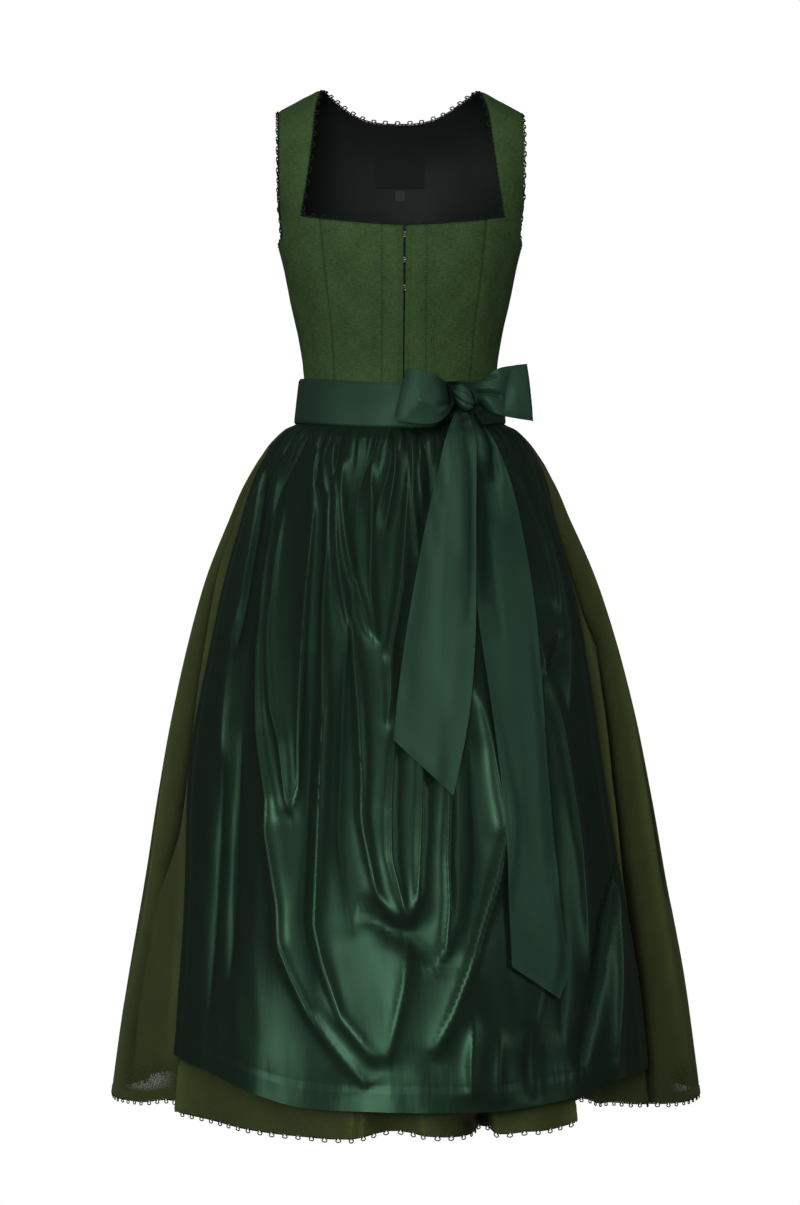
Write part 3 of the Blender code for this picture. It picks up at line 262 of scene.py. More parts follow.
# The skirt is sheer near its hem at these places: angle and reach, then height and reach.
SHEER_CORNERS = ((-70, 10), (78, 8))
SHEER_LEVEL = (-1174, 15)

APRON_LINES = folds("""
7 26 7 2.5  -79 -412  -64 -443  -57 -494  -52 -555  -50 -603  -51 -664
-9 6 6 3  -70 -425  -56 -478  -52 -530  -49 -592  -48 -670
10 9 11 2  -58 -418  -49 -471  -44 -536  -42 -585  -40 -630  -39 -674  -36 -761  -32 -833\
  -32 -865  -28 -948  -27 -994  -24 -1027  -20 -1066  -16 -1097  -9 -1145
7 7 7 1.8  -43 -490  -40 -553  -38 -599  -37 -645  -35 -689  -33 -731  -30 -768  -27 -848
11 22 6 2  -37 -430  -30 -506  -28 -565  -27 -614  -26 -716  -25 -817  -27 -856
12 10 12 2  -37 -410  -26 -489  -23 -552  -22 -614  -20 -731  -20 -840  -20 -969  -18 -1011\
  -14 -1071  -7 -1120
12 12 13 2  -31 -415  -23 -489  -20 -552  -14 -653  -12 -730  -11 -806  -11 -854  -8 -935\
  -3 -970
8 9 10 1.8  -24 -440  -21 -488  -18 -535  -15 -576  -10 -645  -5 -676
6 14 8 2.5  -13 -440  -11 -493  -10 -598  -8 -656
5 8 6 1.8  -4 -408  -4 -455  -7 -530
8 7 8 2  1 -414  0 -487  -2 -583  -5 -662  -5 -716  -6 -755
6 6 7 1.8  3 -410  2 -487  3 -560
5 6 6 1.8  7 -410  5 -455  5 -505
8 9 9 2.4  -4 -740  -5 -840  -5 -896  -2 -968
8 8 9 2.4  2 -740  1 -854  0 -939  -2 -968
9 9 10 2.4  8 -760  6 -897  6 -953  5 -996  2 -1020
-5 8 16 5  -12 -958  -9 -963  -3 -982  3 -1010  6 -1022
12 11 15 2.4  13 -690  16 -725  17 -760  18 -817  19 -866  16 -917  12 -973  9 -1024  6 -1066\
  2 -1112
-10 8 5 3  52 -915  44 -978  35 -1091  32 -1135
9 14 14 5  52 -915  48 -1000  44 -1110  43 -1160
-6 6 8 3  43 -655  34 -704  31 -735
6 7 10 3  60 -430  50 -500  47 -580  46 -640  40 -740
-6 10 10 4  31 -600  31 -760  30 -960  28 -1100
5 12 14 6  -50 -640  -49 -700  -48 -790
-3.5 16 14 8  -47 -800  -46 -900  -44 -1080
-4 9 9 4  -42 -760  -41 -900  -39 -1040
4 18 24 10  30 -880  27 -1000  22 -1080  20 -1120
-6 13 13 6  -14 -560  -16 -700  -16 -880  -13 -980
-5 9 9 5  -24 -660  -23 -800  -23 -960  -19 -1060
-5 12 12 6  12 -780  12 -900  9 -1000
4 22 16 9  -2 -990  -3 -1040  -6 -1120
4 7 7 3  15 -1090  14 -1130  14 -1165
-4 7 7 3  21 -1080  20 -1130  20 -1165
6 9 12 3  41 -420  45 -470  46 -540  43 -620
5 6 9 2  33 -408  36 -450  35 -520
5 8 10 3  50 -430  54 -500  53 -580  49 -680
6 8 14 4  34 -640  37 -760  38 -900  37 -1040
5 8 8 3  10 -1070  9 -1120  9 -1160
""")
# Each line is a broad soft fold with a narrow pinch along its crest.
BROAD_LINES = [(0.85 * row[0], *row[1:3], 1.6, row[4]) for row in APRON_LINES]
FINE_LINES = [(0.26 * row[0], 3.0, 3.0, 0.8, row[4]) for row in APRON_LINES]

# Creases of the ribbon, with each place as x and height.
RIBBON_CREASES = {
"bow_loop_right_hand": folds("""
6.5 11 30 0.8  -2 -338  8 -358  17 -380  31 -384  47 -378
2 8 9 1.2  20 -378  8 -392  -2 -404
3.6 3 4.5 0.5  33 -382  41 -394  52 -386  60 -376
-5 5 3.5 0.8  45 -350  52 -364  55 -378  50 -390
-4 4 4 1  36 -388  46 -384  56 -380
2 2.5 2.5 0.5  47 -355  53 -361  58 -368
"""),
"bow_loop_left_hand": folds("""
-5 5 3.5 0.8  78 -368  90 -370  101 -370  114 -374
2.6 3.5 10 1  80 -364  98 -363  118 -367
4.2 4 9 0.8  84 -369  95 -375  103 -386  111 -400
-5 5 4 0.8  80 -376  92 -386  104 -397
-3.6 8 6 2  126 -340  119 -364  115 -398
-4 4 3 0.8  84 -352  96 -352  110 -350
1.6 7 9 3  140 -338  132 -366  134 -398
"""),
"ribbon_tail_short": folds("""
3 9 6 0.8  56 -388  60 -410  64 -452  63 -500  60 -560
-5 4 4 1  66 -388  70 -412  73 -452  73 -500  70 -560  67 -640
2.4 8 12 2  56 -392  52 -440  44 -520  36 -620  34 -700
1.8 14 18 4  58 -600  52 -690  40 -790
"""),
"ribbon_tail_long": folds("""
4.5 5 4 0.6  76 -384  83 -402  91 -424  93 -452
-6 6 5 0.8  82 -390  92 -406  100 -430  100 -478
-5 5 6 1  92 -384  106 -398  118 -424  124 -460
-5 6 7 2  82 -440  84 -500  84 -560  86 -620
3.6 6 9 0.8  86 -388  98 -404  108 -432  113 -470  112 -520
-2.4 8 8 2  84 -450  88 -500  96 -580  106 -660
2.6 12 12 3  96 -520  112 -640  124 -800  134 -980
2 9 9 3  132 -560  142 -720  148 -880  158 -1010
"""),
}

# ---------------------------------------------------------------- curves


def smooth(knots, values, at):
    """A smooth curve through values at rising knots, with gentle tangents, read at any places."""
    knots, values = np.asarray(knots, float), np.asarray(values, float)
    at = np.clip(np.asarray(at, float), knots[0], knots[-1])
    slopes = np.gradient(values, knots)
    left = np.clip(np.searchsorted(knots, at, side="right") - 1, 0, len(knots) - 2)
    span = knots[left + 1] - knots[left]
    t = (at - knots[left]) / span
    start = (1 + 2 * t) * (1 - t) ** 2 * values[left] + t * (1 - t) ** 2 * span * slopes[left]
    end = t**2 * (3 - 2 * t) * values[left + 1] + t**2 * (t - 1) * span * slopes[left + 1]
    return start + end


def line(pairs, at):
    """A curve given as pairs of a place and a value."""
    return smooth(*zip(*pairs), at)


def at_height(columns, name, z):
    """A column of a table that runs downwards, read smoothly at any height."""
    return smooth(columns["z"][::-1], columns[name][::-1], z)


def by_row(columns, shares):
    """Every column of a table whose rows are evenly spaced, read at shares of its length."""
    return {
        key: smooth(np.linspace(0.0, 1.0, len(values)), values, shares)
        for key, values in columns.items()
    }


def ease(at, start, end):
    """0 before start, 1 after end, smooth between."""
    t = np.clip((np.asarray(at, float) - start) / (end - start), 0.0, 1.0)
    return t * t * (3 - 2 * t)


def bell(at, centre, width, power=2):
    """1 at the centre, fading out over a width to each side. A higher power is squarer."""
    return np.exp(-(((at - centre) / width) ** power))


def spread(start, end, share):
    """Rows that run from each start to its end."""
    return start[:, None] + (end - start)[:, None] * share


def softened(rows, kernel):
    """Each row averaged over its neighbours."""
    reach = len(kernel) // 2
    padded = np.pad(rows, ((0, 0), (reach, reach)), mode="edge")
    return np.stack([np.convolve(row, kernel / kernel.sum(), mode="valid") for row in padded])


def unit(vectors):
    return vectors / (np.linalg.norm(vectors, axis=-1, keepdims=True) + 1e-9)


def running(steps):
    return np.concatenate([[0.0], np.cumsum(steps)])


def run_of(path):
    """How far along a path each of its points lies."""
    return running(np.linalg.norm(np.diff(path, axis=0), axis=1))


def heading(path, closed):
    """The way that a path runs at each of its points."""
    if closed:
        return unit(np.roll(path, -1, axis=0) - np.roll(path, 1, axis=0))
    return unit(np.gradient(path, axis=0))


def read(at, run, path):
    """Points or directions of a path at any lengths along it."""
    return np.stack([np.interp(at, run, path[:, axis]) for axis in range(path.shape[1])], axis=-1)


def chance(number, seed):
    """A steady pseudo-random value from 0 to 1 for each whole number."""
    return np.modf(np.abs(np.sin(np.asarray(number) * 12.9898 + seed * 78.233) * 43758.5453))[0]


def ripple(u, v, seed, scale):
    """Soft uneven ripples, about -1 to 1, from a few crossing waves."""
    total = np.zeros(np.broadcast(u, v).shape)
    for k in range(6):
        turn = 2 * math.pi * float(chance(k, seed))
        size = scale * (0.6 + 0.9 * float(chance(k, seed + 1)))
        along = u * math.cos(turn) + v * math.sin(turn)
        total += np.sin(along * 2 * math.pi / size + 7 * k + seed)
    return total / 6


def creases(s, z, rows, scale=1.0):
    """Ridges and troughs from listed lines. s is the distance round the form, or x at a scale of 1.
    """
    total = np.zeros(np.broadcast(s, z).shape)
    for height, before, after, radius, places in rows:
        points = np.asarray(places) * (scale, 1.0)
        step = np.diff(points, axis=0)
        length = np.linalg.norm(step, axis=1)
        run = running(length) / length.sum()
        best = np.full(total.shape, 1e9)
        side = np.zeros(total.shape)
        at = np.zeros(total.shape)
        for k in range(len(step)):
            ds, dz = s - points[k, 0], z - points[k, 1]
            t = np.clip((ds * step[k, 0] + dz * step[k, 1]) / length[k] ** 2, 0.0, 1.0)
            distance = np.hypot(ds - t * step[k, 0], dz - t * step[k, 1])
            nearer = distance < best
            best = np.where(nearer, distance, best)
            side = np.where(nearer, step[k, 1] * ds - step[k, 0] * dz, side)
            at = np.where(nearer, run[k] + t * (run[k + 1] - run[k]), at)
        profile = np.exp(-(np.hypot(best, radius) - radius) / np.where(side > 0, before, after))
        total += height * profile * np.clip(np.sin(math.pi * at), 0.0, 1.0) ** 0.5
    return total


# ---------------------------------------------------------------- the bodice's form


def ridge_path():
    """The profile over the shoulder: its length from the ridge (front negative), z, y and width."""

    def over(front, back):
        return np.concatenate([front[::-1], back[1:]])

    z = over(PROFILE["z"], PROFILE["z"])
    y = over(-PROFILE["front"], PROFILE["back"])
    length = running(np.hypot(np.diff(z), np.diff(y)))
    ridge = len(PROFILE["z"]) - 1
    return length - length[ridge], z, y, over(PROFILE["half_width"], PROFILE["half_width"])


PATH, PATH_Z, PATH_Y, PATH_WIDTH = ridge_path()
FINE_PATH = np.linspace(PATH[0], PATH[-1], 6001)
FINE_Z = smooth(PATH, PATH_Z, FINE_PATH)


def path_at(z, back=False):
    """How far along the profile a height lies, on the front or the back."""
    side = FINE_PATH >= 0 if back else FINE_PATH <= 0
    order = -1 if back else 1
    return np.interp(z, FINE_Z[side][::order], FINE_PATH[side][::order])


def width_at(path):
    return smooth(PATH, PATH_WIDTH, path)


def angle_at(x, path):
    return np.degrees(np.arcsin(np.clip(np.asarray(x) / width_at(path), -1.0, 1.0)))


def waist_dip(cos_angle, y, z):
    """How much lower the waistline runs at the front, fading out above and below it."""
    near = ease(z, *DIP_ABOVE) * (1 - ease(z, *DIP_BELOW))
    return WAIST_DIP * np.clip(cos_angle, 0.0, 1.0) ** 2 * (np.asarray(y) < 0) * near


def torso(angle, path):
    """A point of the bodice's outside."""
    turn = np.radians(angle)
    y = smooth(PATH, PATH_Y, path) * np.cos(turn)
    x = width_at(path) * np.sin(turn)
    z = smooth(PATH, PATH_Z, path)
    beyond = np.hypot(np.maximum(np.abs(x) - NECK_X, 0.0), NECK_ROUNDING) - NECK_ROUNDING
    z = z - SHOULDER_SLOPE * beyond * (1 - ease(np.abs(path), *SLOPE_END))
    z = z - waist_dip(np.cos(turn), y, z)
    return np.stack([x, y, z], axis=-1)


def torso_normal(angle, path):
    small = 0.5
    across = torso(angle + small, path) - torso(angle - small, path)
    along = torso(angle, path + small) - torso(angle, path - small)
    normal = np.cross(across, along)
    return normal / np.linalg.norm(normal, axis=-1, keepdims=True)


def armhole_angle(path):
    """The armhole's edge: a round scoop under the arm, then straight up as seen from the front."""
    z = smooth(PATH, PATH_Z, path)
    straight = angle_at(np.minimum(ARMHOLE_X, width_at(path)), path)
    return np.where(z < ARMHOLE_UNDER[-1][0], line(ARMHOLE_UNDER, z), straight)


def dense(heights, step=4.0):
    """Heights filled in to an even step, keeping each one given."""
    made = [heights[0]]
    for low, high in zip(heights[:-1], heights[1:]):
        count = max(1, round(abs(high - low) / step))
        made += list(np.linspace(low, high, count + 1)[1:])
    return np.array(made)


def filled(spans):
    """Heights from spans of a start, an end and a count."""
    return np.concatenate([np.linspace(*span) for span in spans])


SIDE_FINE = dense(SIDE_HEIGHTS)
FRONT_FINE = np.concatenate([SIDE_FINE, np.arange(-164.0, -160.0), dense(STRAP_HEIGHTS)])
BACK_FINE = dense(BACK_HEIGHTS)
BACK_STRAP_FINE = dense((BACK_HEIGHTS[-1], *BACK_STRAP_HEIGHTS))[1:]
BACK_NECK_FINE = 22
BACK_STRAP_COLUMNS = 12


def front_centre_grid(columns=36):
    """From the closing to the princess seam, waist row first, on the wearer's left."""
    seam_path = path_at(SIDE_FINE)
    up = (seam_path - seam_path[0]) / (seam_path[-1] - seam_path[0])
    across = np.linspace(0.0, 1.0, columns)
    top = path_at(NECKLINE_CENTRE_Z + (NECKLINE_SEAM_Z - NECKLINE_CENTRE_Z) * across**1.5)
    path = seam_path[0] + (top - seam_path[0]) * up[:, None]
    closing = (CLOSING_GAP_WAIST + (CLOSING_GAP_TOP - CLOSING_GAP_WAIST) * up) / 2
    seam = angle_at(line(PRINCESS_SEAM, SIDE_FINE), seam_path) - SEAM_HALF_ANGLE
    return spread(angle_at(closing, path[:, 0]), seam, across), path


def side_grid(inner, path, columns):
    """From a seam to the side seam, or to the armhole above it."""
    outer = np.minimum(armhole_angle(path), 90.0 - SEAM_HALF_ANGLE)
    angle = spread(inner, outer, np.linspace(0.0, 1.0, columns))
    return angle, np.repeat(path[:, None], columns, axis=1)


def front_side_grid():
    """From the princess seam to the side seam, with the front half of the strap."""
    path = np.append(path_at(FRONT_FINE), -SEAM_GAP)
    heights = np.append(FRONT_FINE, 0.0)
    seam = angle_at(line(PRINCESS_SEAM, heights), path) + SEAM_HALF_ANGLE
    strap = angle_at(line(STRAP_INNER_EDGE, heights), path)
    corner = (heights - NECKLINE_SEAM_Z) / (STRAP_HEIGHTS[0] - NECKLINE_SEAM_Z)
    return side_grid(seam + (strap - seam) * np.clip(corner, 0.0, 1.0), path, 26)


def back_side_grid():
    """From the side seam to the curved back seam, which runs into the armhole."""
    path = path_at(BACK_FINE, back=True)
    return side_grid(angle_at(line(BACK_SEAM, BACK_FINE), path) + SEAM_HALF_ANGLE, path, 22)


def back_centre_grid():
    """Between the two back seams, with the back halves of the straps."""
    heights = np.concatenate([BACK_FINE, BACK_STRAP_FINE])
    low = len(BACK_FINE)
    edge_path = np.append(path_at(heights, back=True), SEAM_GAP)
    seam = angle_at(line(BACK_SEAM, heights[:low]), edge_path[:low]) - SEAM_HALF_ANGLE
    edge_angle = np.concatenate([seam, armhole_angle(edge_path[low:])])
    neck = angle_at(NECK_X, 0.0) / armhole_angle(0.0)
    strap = np.linspace(neck, 1.0, BACK_STRAP_COLUMNS + 1)[1:]
    half = np.concatenate([np.linspace(0.0, neck, BACK_NECK_FINE + 1), strap])
    shares = np.concatenate([-half[:0:-1], half])
    # The top edge is the neckline's scoop, then the shoulder seam.
    scoop = np.clip(1 - (np.abs(shares) / neck) ** BACK_NECK_ROUND, 0.0, 1.0)
    top = SEAM_GAP + (path_at(BACK_NECK_Z, back=True) - SEAM_GAP) * scoop
    up = (edge_path - edge_path[0]) / (edge_path[-1] - edge_path[0])
    path = edge_path[0] + (top - edge_path[0]) * up[:, None]
    return np.interp(-path, -edge_path, edge_angle) * shares, path


# ---------------------------------------------------------------- meshes


def place(name, data):
    made = bpy.data.objects.new(name, data)
    bpy.context.scene.collection.objects.link(made)
    return made


def add_piece(name, points, faces, finishes, uv=None, lined=None):
    """One piece from points in millimetres, riding on the dress's only body.

    Cloth has its own map, a place in millimetres for each corner. The faces of the range lined
    take the second finish, if there is one.
    """
    mesh = bpy.data.meshes.new(name)
    mesh.from_pydata((np.asarray(points) * METRE).tolist(), [], faces)
    for finish in finishes:
        mesh.materials.append(finish)
    if lined and len(finishes) > 1:
        numbers = np.zeros(len(mesh.polygons), np.int32)
        numbers[slice(*lined)] = 1
        mesh.polygons.foreach_set("material_index", numbers)
    mesh.shade_smooth()
    if uv is not None:
        layer = mesh.uv_layers.new(name="cloth")
        layer.uv.foreach_set("vector", np.asarray(uv, np.float32).ravel() * METRE)
        mesh.set_sharp_from_angle(angle=math.radians(55))
    piece = place(name, mesh)
    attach(piece, "root")
    return piece


def stands_for(piece, node, slot, **cut):
    """Hides the solid that a piece stands for. The piece, the finish's slot and the cloth's cut are
    not used.
    """
    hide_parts(node)


def paint(piece, name, values):
    """A value for each point, the same on the outer and the inner side."""
    layer = piece.data.attributes.new(name=name, type="FLOAT", domain="POINT")
    layer.data.foreach_set("value", np.tile(np.asarray(values, np.float32).ravel(), 2))


def numbered(rows, columns, ring=False):
    """The numbers of a grid's points, with the first column again at the end of a ring."""
    grid = np.arange(rows * columns).reshape(rows, columns)
    return np.hstack([grid, grid[:, :1]]) if ring else grid


def quads(grid):
    """The four corners of each cell of a grid."""
    corners = [grid[:-1, :-1], grid[1:, :-1], grid[1:, 1:], grid[:-1, 1:]]
    return np.stack(corners, axis=2).reshape(-1, 4, *grid.shape[2:])


TURNED = [0, 3, 2, 1]  # a cell's corners the other way round


def lengths(points, axis):
    """Running length along the rows (axis 1) or down the columns (axis 0) of a grid of points."""
    step = np.linalg.norm(np.diff(points, axis=axis), axis=-1)
    first = np.zeros_like(step[:1] if axis == 0 else step[:, :1])
    return np.cumsum(np.concatenate([first, step], axis=axis), axis=axis)


def shell(name, outside, inside, finishes, ring=False, flip=False):
    """A closed wall between two grids of points, with the cloth's own map in millimetres."""
    number = numbered(*outside.shape[:2], ring)
    wrapped = np.concatenate([outside, outside[:, :1]], axis=1) if ring else outside
    across = lengths(wrapped, 1)
    spot = np.stack([across - across[:, -1:] / 2, -lengths(wrapped, 0)], axis=-1)
    offset = outside.shape[0] * outside.shape[1]
    faces = [quads(number), quads(number)[:, ::-1] + offset]
    maps = [quads(spot), quads(spot)[:, ::-1]]
    rims = [(0, slice(None, None, -1)), (-1, slice(None))]
    if not ring:
        rims += [(slice(None), 0), (slice(None, None, -1), -1)]
    for rim in rims:
        faces.append(quads(np.stack([number[rim], number[rim] + offset], axis=1))[:, [3, 2, 1, 0]])
        maps.append(quads(np.stack([spot[rim], spot[rim]], axis=1))[:, [3, 2, 1, 0]])
    lined = (len(faces[0]), 2 * len(faces[0]))
    faces, maps = np.concatenate(faces), np.concatenate(maps)
    if flip:
        faces, maps = faces[:, ::-1], maps[:, ::-1]
    points = np.concatenate([outside.reshape(-1, 3), inside.reshape(-1, 3)])
    return add_piece(name, points, faces.tolist(), finishes, maps, lined)


def strand(path, radius, sides, facing, closed=False):
    """Points and faces of a thread along a path."""
    path, facing = np.asarray(path, float), np.asarray(facing, float)
    count = len(path)
    along = heading(path, closed)
    first = unit(facing - (facing * along).sum(axis=1, keepdims=True) * along)
    second = np.cross(along, first)
    turn = 2 * math.pi * np.arange(sides) / sides
    radius = np.broadcast_to(np.asarray(radius, float), (count,))
    rings = np.cos(turn)[:, None] * first[:, None] + np.sin(turn)[:, None] * second[:, None]
    points = path[:, None] + radius[:, None, None] * rings
    number = numbered(count, sides, True)
    if closed:
        number = np.vstack([number, number[:1]])
    faces = quads(number)[:, TURNED].tolist()
    if not closed:
        faces.append(list(range(sides))[::-1])
        faces.append(list(range((count - 1) * sides, count * sides)))
    return points.reshape(-1, 3), faces


def threads(name, strands, finish):
    """One piece of many threads."""
    points, faces, start = [], [], 0
    for strand_points, strand_faces in strands:
        points.append(strand_points)
        faces += [[corner + start for corner in face] for face in strand_faces]
        start += len(strand_points)
    return add_piece(name, np.concatenate(points), faces, [finish])


# ---------------------------------------------------------------- the bodice


def edge_fall(points, depth, reach):
    """How far a panel turns in towards each of its edges, as cloth does over a seam allowance."""
    across, down = lengths(points, 1), lengths(points, 0)
    gaps = (across, across[:, -1:] - across, down, down[-1:] - down)
    return sum(depth * bell(gap, 0.0, reach) for gap in gaps)


def bodice_panel(node, angle, path, finishes, seed, cut, grooves=()):
    """A linen panel: its form, soft pulls in the cloth, and edges that turn in at the seams, with
    painted shade along the seams and grooves.
    """
    points, normal = torso(angle, path), torso_normal(angle, path)
    across, down = lengths(points, 1), lengths(points, 0)
    pull = 0.45 * ripple(across, down * 0.6, seed, 70.0)
    pull = pull + 0.25 * ripple(across, down, seed + 3, 26.0)
    pull = pull + 0.5 * bell(down, 0.0, 45.0) * ripple(across * 0.3, down, seed + 5, 17.0)
    fall = edge_fall(points, 0.9, 1.7)
    # Painted shade where the edges turn in at the seams and along the grooves, over a soft random
    # tone.
    painted_shading = 0.15 * ripple(across, down, seed + 9, 90.0) - 0.45 * fall
    for groove, depth, width in grooves:
        pull = pull - depth * bell(across, groove, width)
        painted_shading = painted_shading - depth * bell(across, groove, 1.6 * width)
    outside = points + (pull - fall)[..., None] * normal
    inside = points - LINEN_WALL * normal
    flip = angle[0, -1] <= angle[0, 0]
    piece = shell(node.replace("bodice", "linen"), outside, inside, finishes, flip=flip)
    paint(piece, "painted_shading", painted_shading)
    stands_for(piece, node, "bodice_linen", held="stretched", rests_on=["apron_band"], **cut)
    return outside


def lining_panel(node, angle, path, satin, seed, cut):
    """The satin lining behind a back panel, with its slack creases."""
    points, normal = torso(angle, path), torso_normal(angle, path)
    across, down = lengths(points, 1), lengths(points, 0)
    x, z = points[..., 0], points[..., 2]
    middle = bell(angle, 4, 14) * bell(z, -92, 60, 4)  # flat behind the label
    shoulder = bell(x, 96, 24) * bell(z, -48, 34)  # creased below the wearer's left shoulder
    drawn = 1.4 * ripple(across * 0.7, down * 1.5 + across, seed + 2, 19.0) + 0.6
    slack = 0.8 * ripple(across, down * 0.5, seed, 60.0) + 0.9 + shoulder * drawn
    slack = np.clip(slack * (1 - 0.9 * middle), 0.0, 2.2) + 0.15
    start = LINEN_WALL + SEAM_GAP
    fall = np.clip(edge_fall(points, 1.0, 3.0), 0.0, 1.0)
    inside = points - (start + LINING_WALL + slack * (1 - fall))[..., None] * normal
    outside = points - start * normal
    flip = angle[0, -1] <= angle[0, 0]
    piece = shell(node.replace("lining", "satin"), outside, inside, [satin], flip=flip)
    stands_for(piece, node, "lining_satin", held="stretched", rests_on=["apron_band"], **cut)
    return inside


def dashes(path, normals, length, gap, radius, lift=0.15):
    """Short stitches of thread lying along a path on the cloth."""
    run = run_of(path)
    made = []
    for start in np.arange(gap, run[-1] - length, length + gap):
        places = start + length * np.array([0.0, 0.25, 0.75, 1.0])
        out = read(places, run, normals)
        sink = np.array([-0.35, lift, lift, -0.35])[:, None]
        made.append(strand(read(places, run, path) + out * sink, radius, 4, out))
    return made


PLACKET = 25.0  # from the closing edge to the line of stitches that holds its facing
CLOSING_GROOVES = ((4.6, 0.5, 1.0), (PLACKET, 0.35, 1.1))


def build_bodice(linen, satin, woven_label, tag, metal, thread):
    def cut(width, height, area):
        return {"flat": (width, height), "area": area}

    for side, word in ((1, "left"), (-1, "right")):
        both = [linen, satin]
        angle, path = front_centre_grid()
        outside = bodice_panel("bodice_front_centre_" + word, side * angle, path, both, 3 + side,
            cut(0.105, 0.225, 0.0206), CLOSING_GROOVES)
        rows = list(zip(lengths(outside, 1), outside, torso_normal(side * angle, path)))
        seam = np.array([read(PLACKET, run, row) for run, row, _ in rows])
        out = np.array([read(PLACKET, run, normals) for run, _, normals in rows])
        stitches = threads("placket_stitches_" + word, dashes(seam, out, 2.6, 1.4, 0.28), thread)
        angle, path = front_side_grid()
        bodice_panel("bodice_front_side_" + word, side * angle, path, both, 11 + side,
            cut(0.145, 0.42, 0.0288))
        angle, path = back_side_grid()
        bodice_panel("bodice_back_side_" + word, side * angle, path, [linen], 21 + side,
            cut(0.15, 0.27, 0.0222))
        lining_panel("lining_back_side_" + word, side * angle, path, satin, 31 + side,
            cut(0.15, 0.27, 0.0217))
    angle, path = back_centre_grid()
    bodice_panel("bodice_back_centre", angle, path, [linen], 41, cut(0.32, 0.42, 0.0836))
    inner = lining_panel("lining_back_centre", angle, path, satin, 43, cut(0.32, 0.42, 0.0819))
    sewn_patch("label_blank", LABEL, inner, woven_label, 0.5, (0.06, 0.0445))
    sewn_patch("size_tag_blank", TAG, inner, tag, 0.0, (0.0121, 0.0126))
    for number, height in enumerate(HOOK_HEIGHTS, 1):
        front_hook(str(number), height, metal)


def sewn_patch(node, sides, inner, finish, bow, flat):
    """A small bare woven piece on the lining's inner face."""
    (left, right), (top, low) = sides
    xs, zs = np.linspace(left, right, 17), np.linspace(top, low, 13)
    grid_x, grid_z = np.meshgrid(xs, zs)
    y = np.empty_like(grid_x)
    for column, x in enumerate(xs):
        crossed = np.array([read(x, row[:, 0], row) for row in inner])
        y[:, column] = np.interp(zs, crossed[:, 2], crossed[:, 1])
    u, v = (grid_x - left) / (right - left), (grid_z - top) / (low - top)
    y = y - LABEL_GAP - bow * np.sin(math.pi * u) * np.sin(math.pi * v)
    back = np.stack([grid_x, y, grid_z], axis=-1)
    front = back - np.array((0.0, LABEL_WALL * 0.8, 0.0))
    piece = shell("woven_" + node, front, back, [finish])
    stands_for(piece, node, "woven_label", flat=flat, held="laid", rests_on=["lining_back_centre"])


def front_hook(number, height, finish):
    """A closed hook and eye of bent wire, sewn behind the two edges of the closing."""
    path = path_at(height)
    middle, outward = torso(0.0, path), torso_normal(0.0, path)
    sideways = np.array((1.0, 0.0, 0.0))
    up = np.cross(outward, sideways)
    up = up if up[2] > 0 else -up
    start = middle - outward * (LINEN_WALL + HOOK_SETBACK + HOOK_WIRE / 2)
    turns = np.radians(np.linspace(-150.0, 150.0, 25))[:, None]
    loop = start + np.cos(turns) * sideways * HOOK_WIDTH / 2 + np.sin(turns) * up * HOOK_TALL / 2
    tongue = start + np.linspace(-2.8, 2.2, 9)[:, None] * sideways
    wires = [
        strand(wire, HOOK_WIRE * share, 8, np.repeat(outward[None], len(wire), axis=0))
        for wire, share in ((loop, 0.5), (tongue, 0.45))
    ]
    stands_for(threads("hook_wire_" + number, wires, finish), "front_hook_" + number, "hook_metal")


# ---------------------------------------------------------------- the skirt

MEAN_DEGREE = 4.2  # the distance round the skirt of one degree, on average


def degree_length(z):
    """The distance round the skirt of one degree at a height."""
    across, front = (at_height(SKIRT_SECTIONS, name, z) for name in ("half_width", "front"))
    return (across + front) / 2 * math.pi / 180


def section(angle, z, sections=SKIRT_SECTIONS):
    """A point of a level oval section, and its outward direction."""
    width, front, back = (at_height(sections, name, z) for name in ("half_width", "front", "back"))
    turn = np.radians(angle)
    depth = np.where(np.cos(turn) >= 0, front, back)
    x = width * np.sin(turn)
    y = -depth * np.cos(turn)
    outward = np.stack([depth * np.sin(turn), -width * np.cos(turn), np.zeros_like(x)], axis=-1)
    outward /= np.linalg.norm(outward, axis=-1, keepdims=True)
    sway = HEM_SWAY * ease(z, GATHER_TOP_Z, SWAY_END_Z)
    return np.stack([x + sway, y, z - waist_dip(np.cos(turn), y, z)], axis=-1), outward


def wave_share(z):
    return np.clip((GATHER_TOP_Z - z) / (GATHER_TOP_Z - HEM_Z), 0.0, 1.2) ** WAVE_POWER


def around(angle, name):
    """A column of the skirt's waves at any angle, once round."""
    angles, values = SKIRT_WAVES["angle"], SKIRT_WAVES[name]
    knots = np.concatenate([angles[-3:] - 360, angles, angles[:3] + 360])
    wrapped = (np.asarray(angle, float) - angles[0]) % 360 + angles[0]
    return smooth(knots, np.concatenate([values[-3:], values, values[:3]]), wrapped)


def tucks(phase, z, depth, shortest, longest, seed):
    """Gathers with rounded ridges and pinched valleys, each with its own length and depth."""
    index = np.floor(phase)
    reach = shortest + (longest - shortest) * chance(index, seed)
    fade = np.clip(1 - (GATHER_TOP_Z - z) / reach, 0.0, 1.0) ** 1.3 * ease(z, -399.0, -407.0)
    tall = depth * (0.45 + 0.55 * chance(index, seed + 1))
    return tall * fade * np.abs(np.sin(math.pi * phase)) ** 0.75


def skirt_gathers(angle, z):
    share = np.abs(angle) / 180.0
    uneven = 0.006 * np.sin(2 * math.pi * 3 * share) + 0.004 * np.sin(2 * math.pi * 7 * share)
    phase = SKIRT_GATHERS * (share + uneven)
    return tucks(phase * 1.6, z, *SKIRT_SMALL) + tucks(phase * 0.63 + 0.4, z, *SKIRT_LARGE)


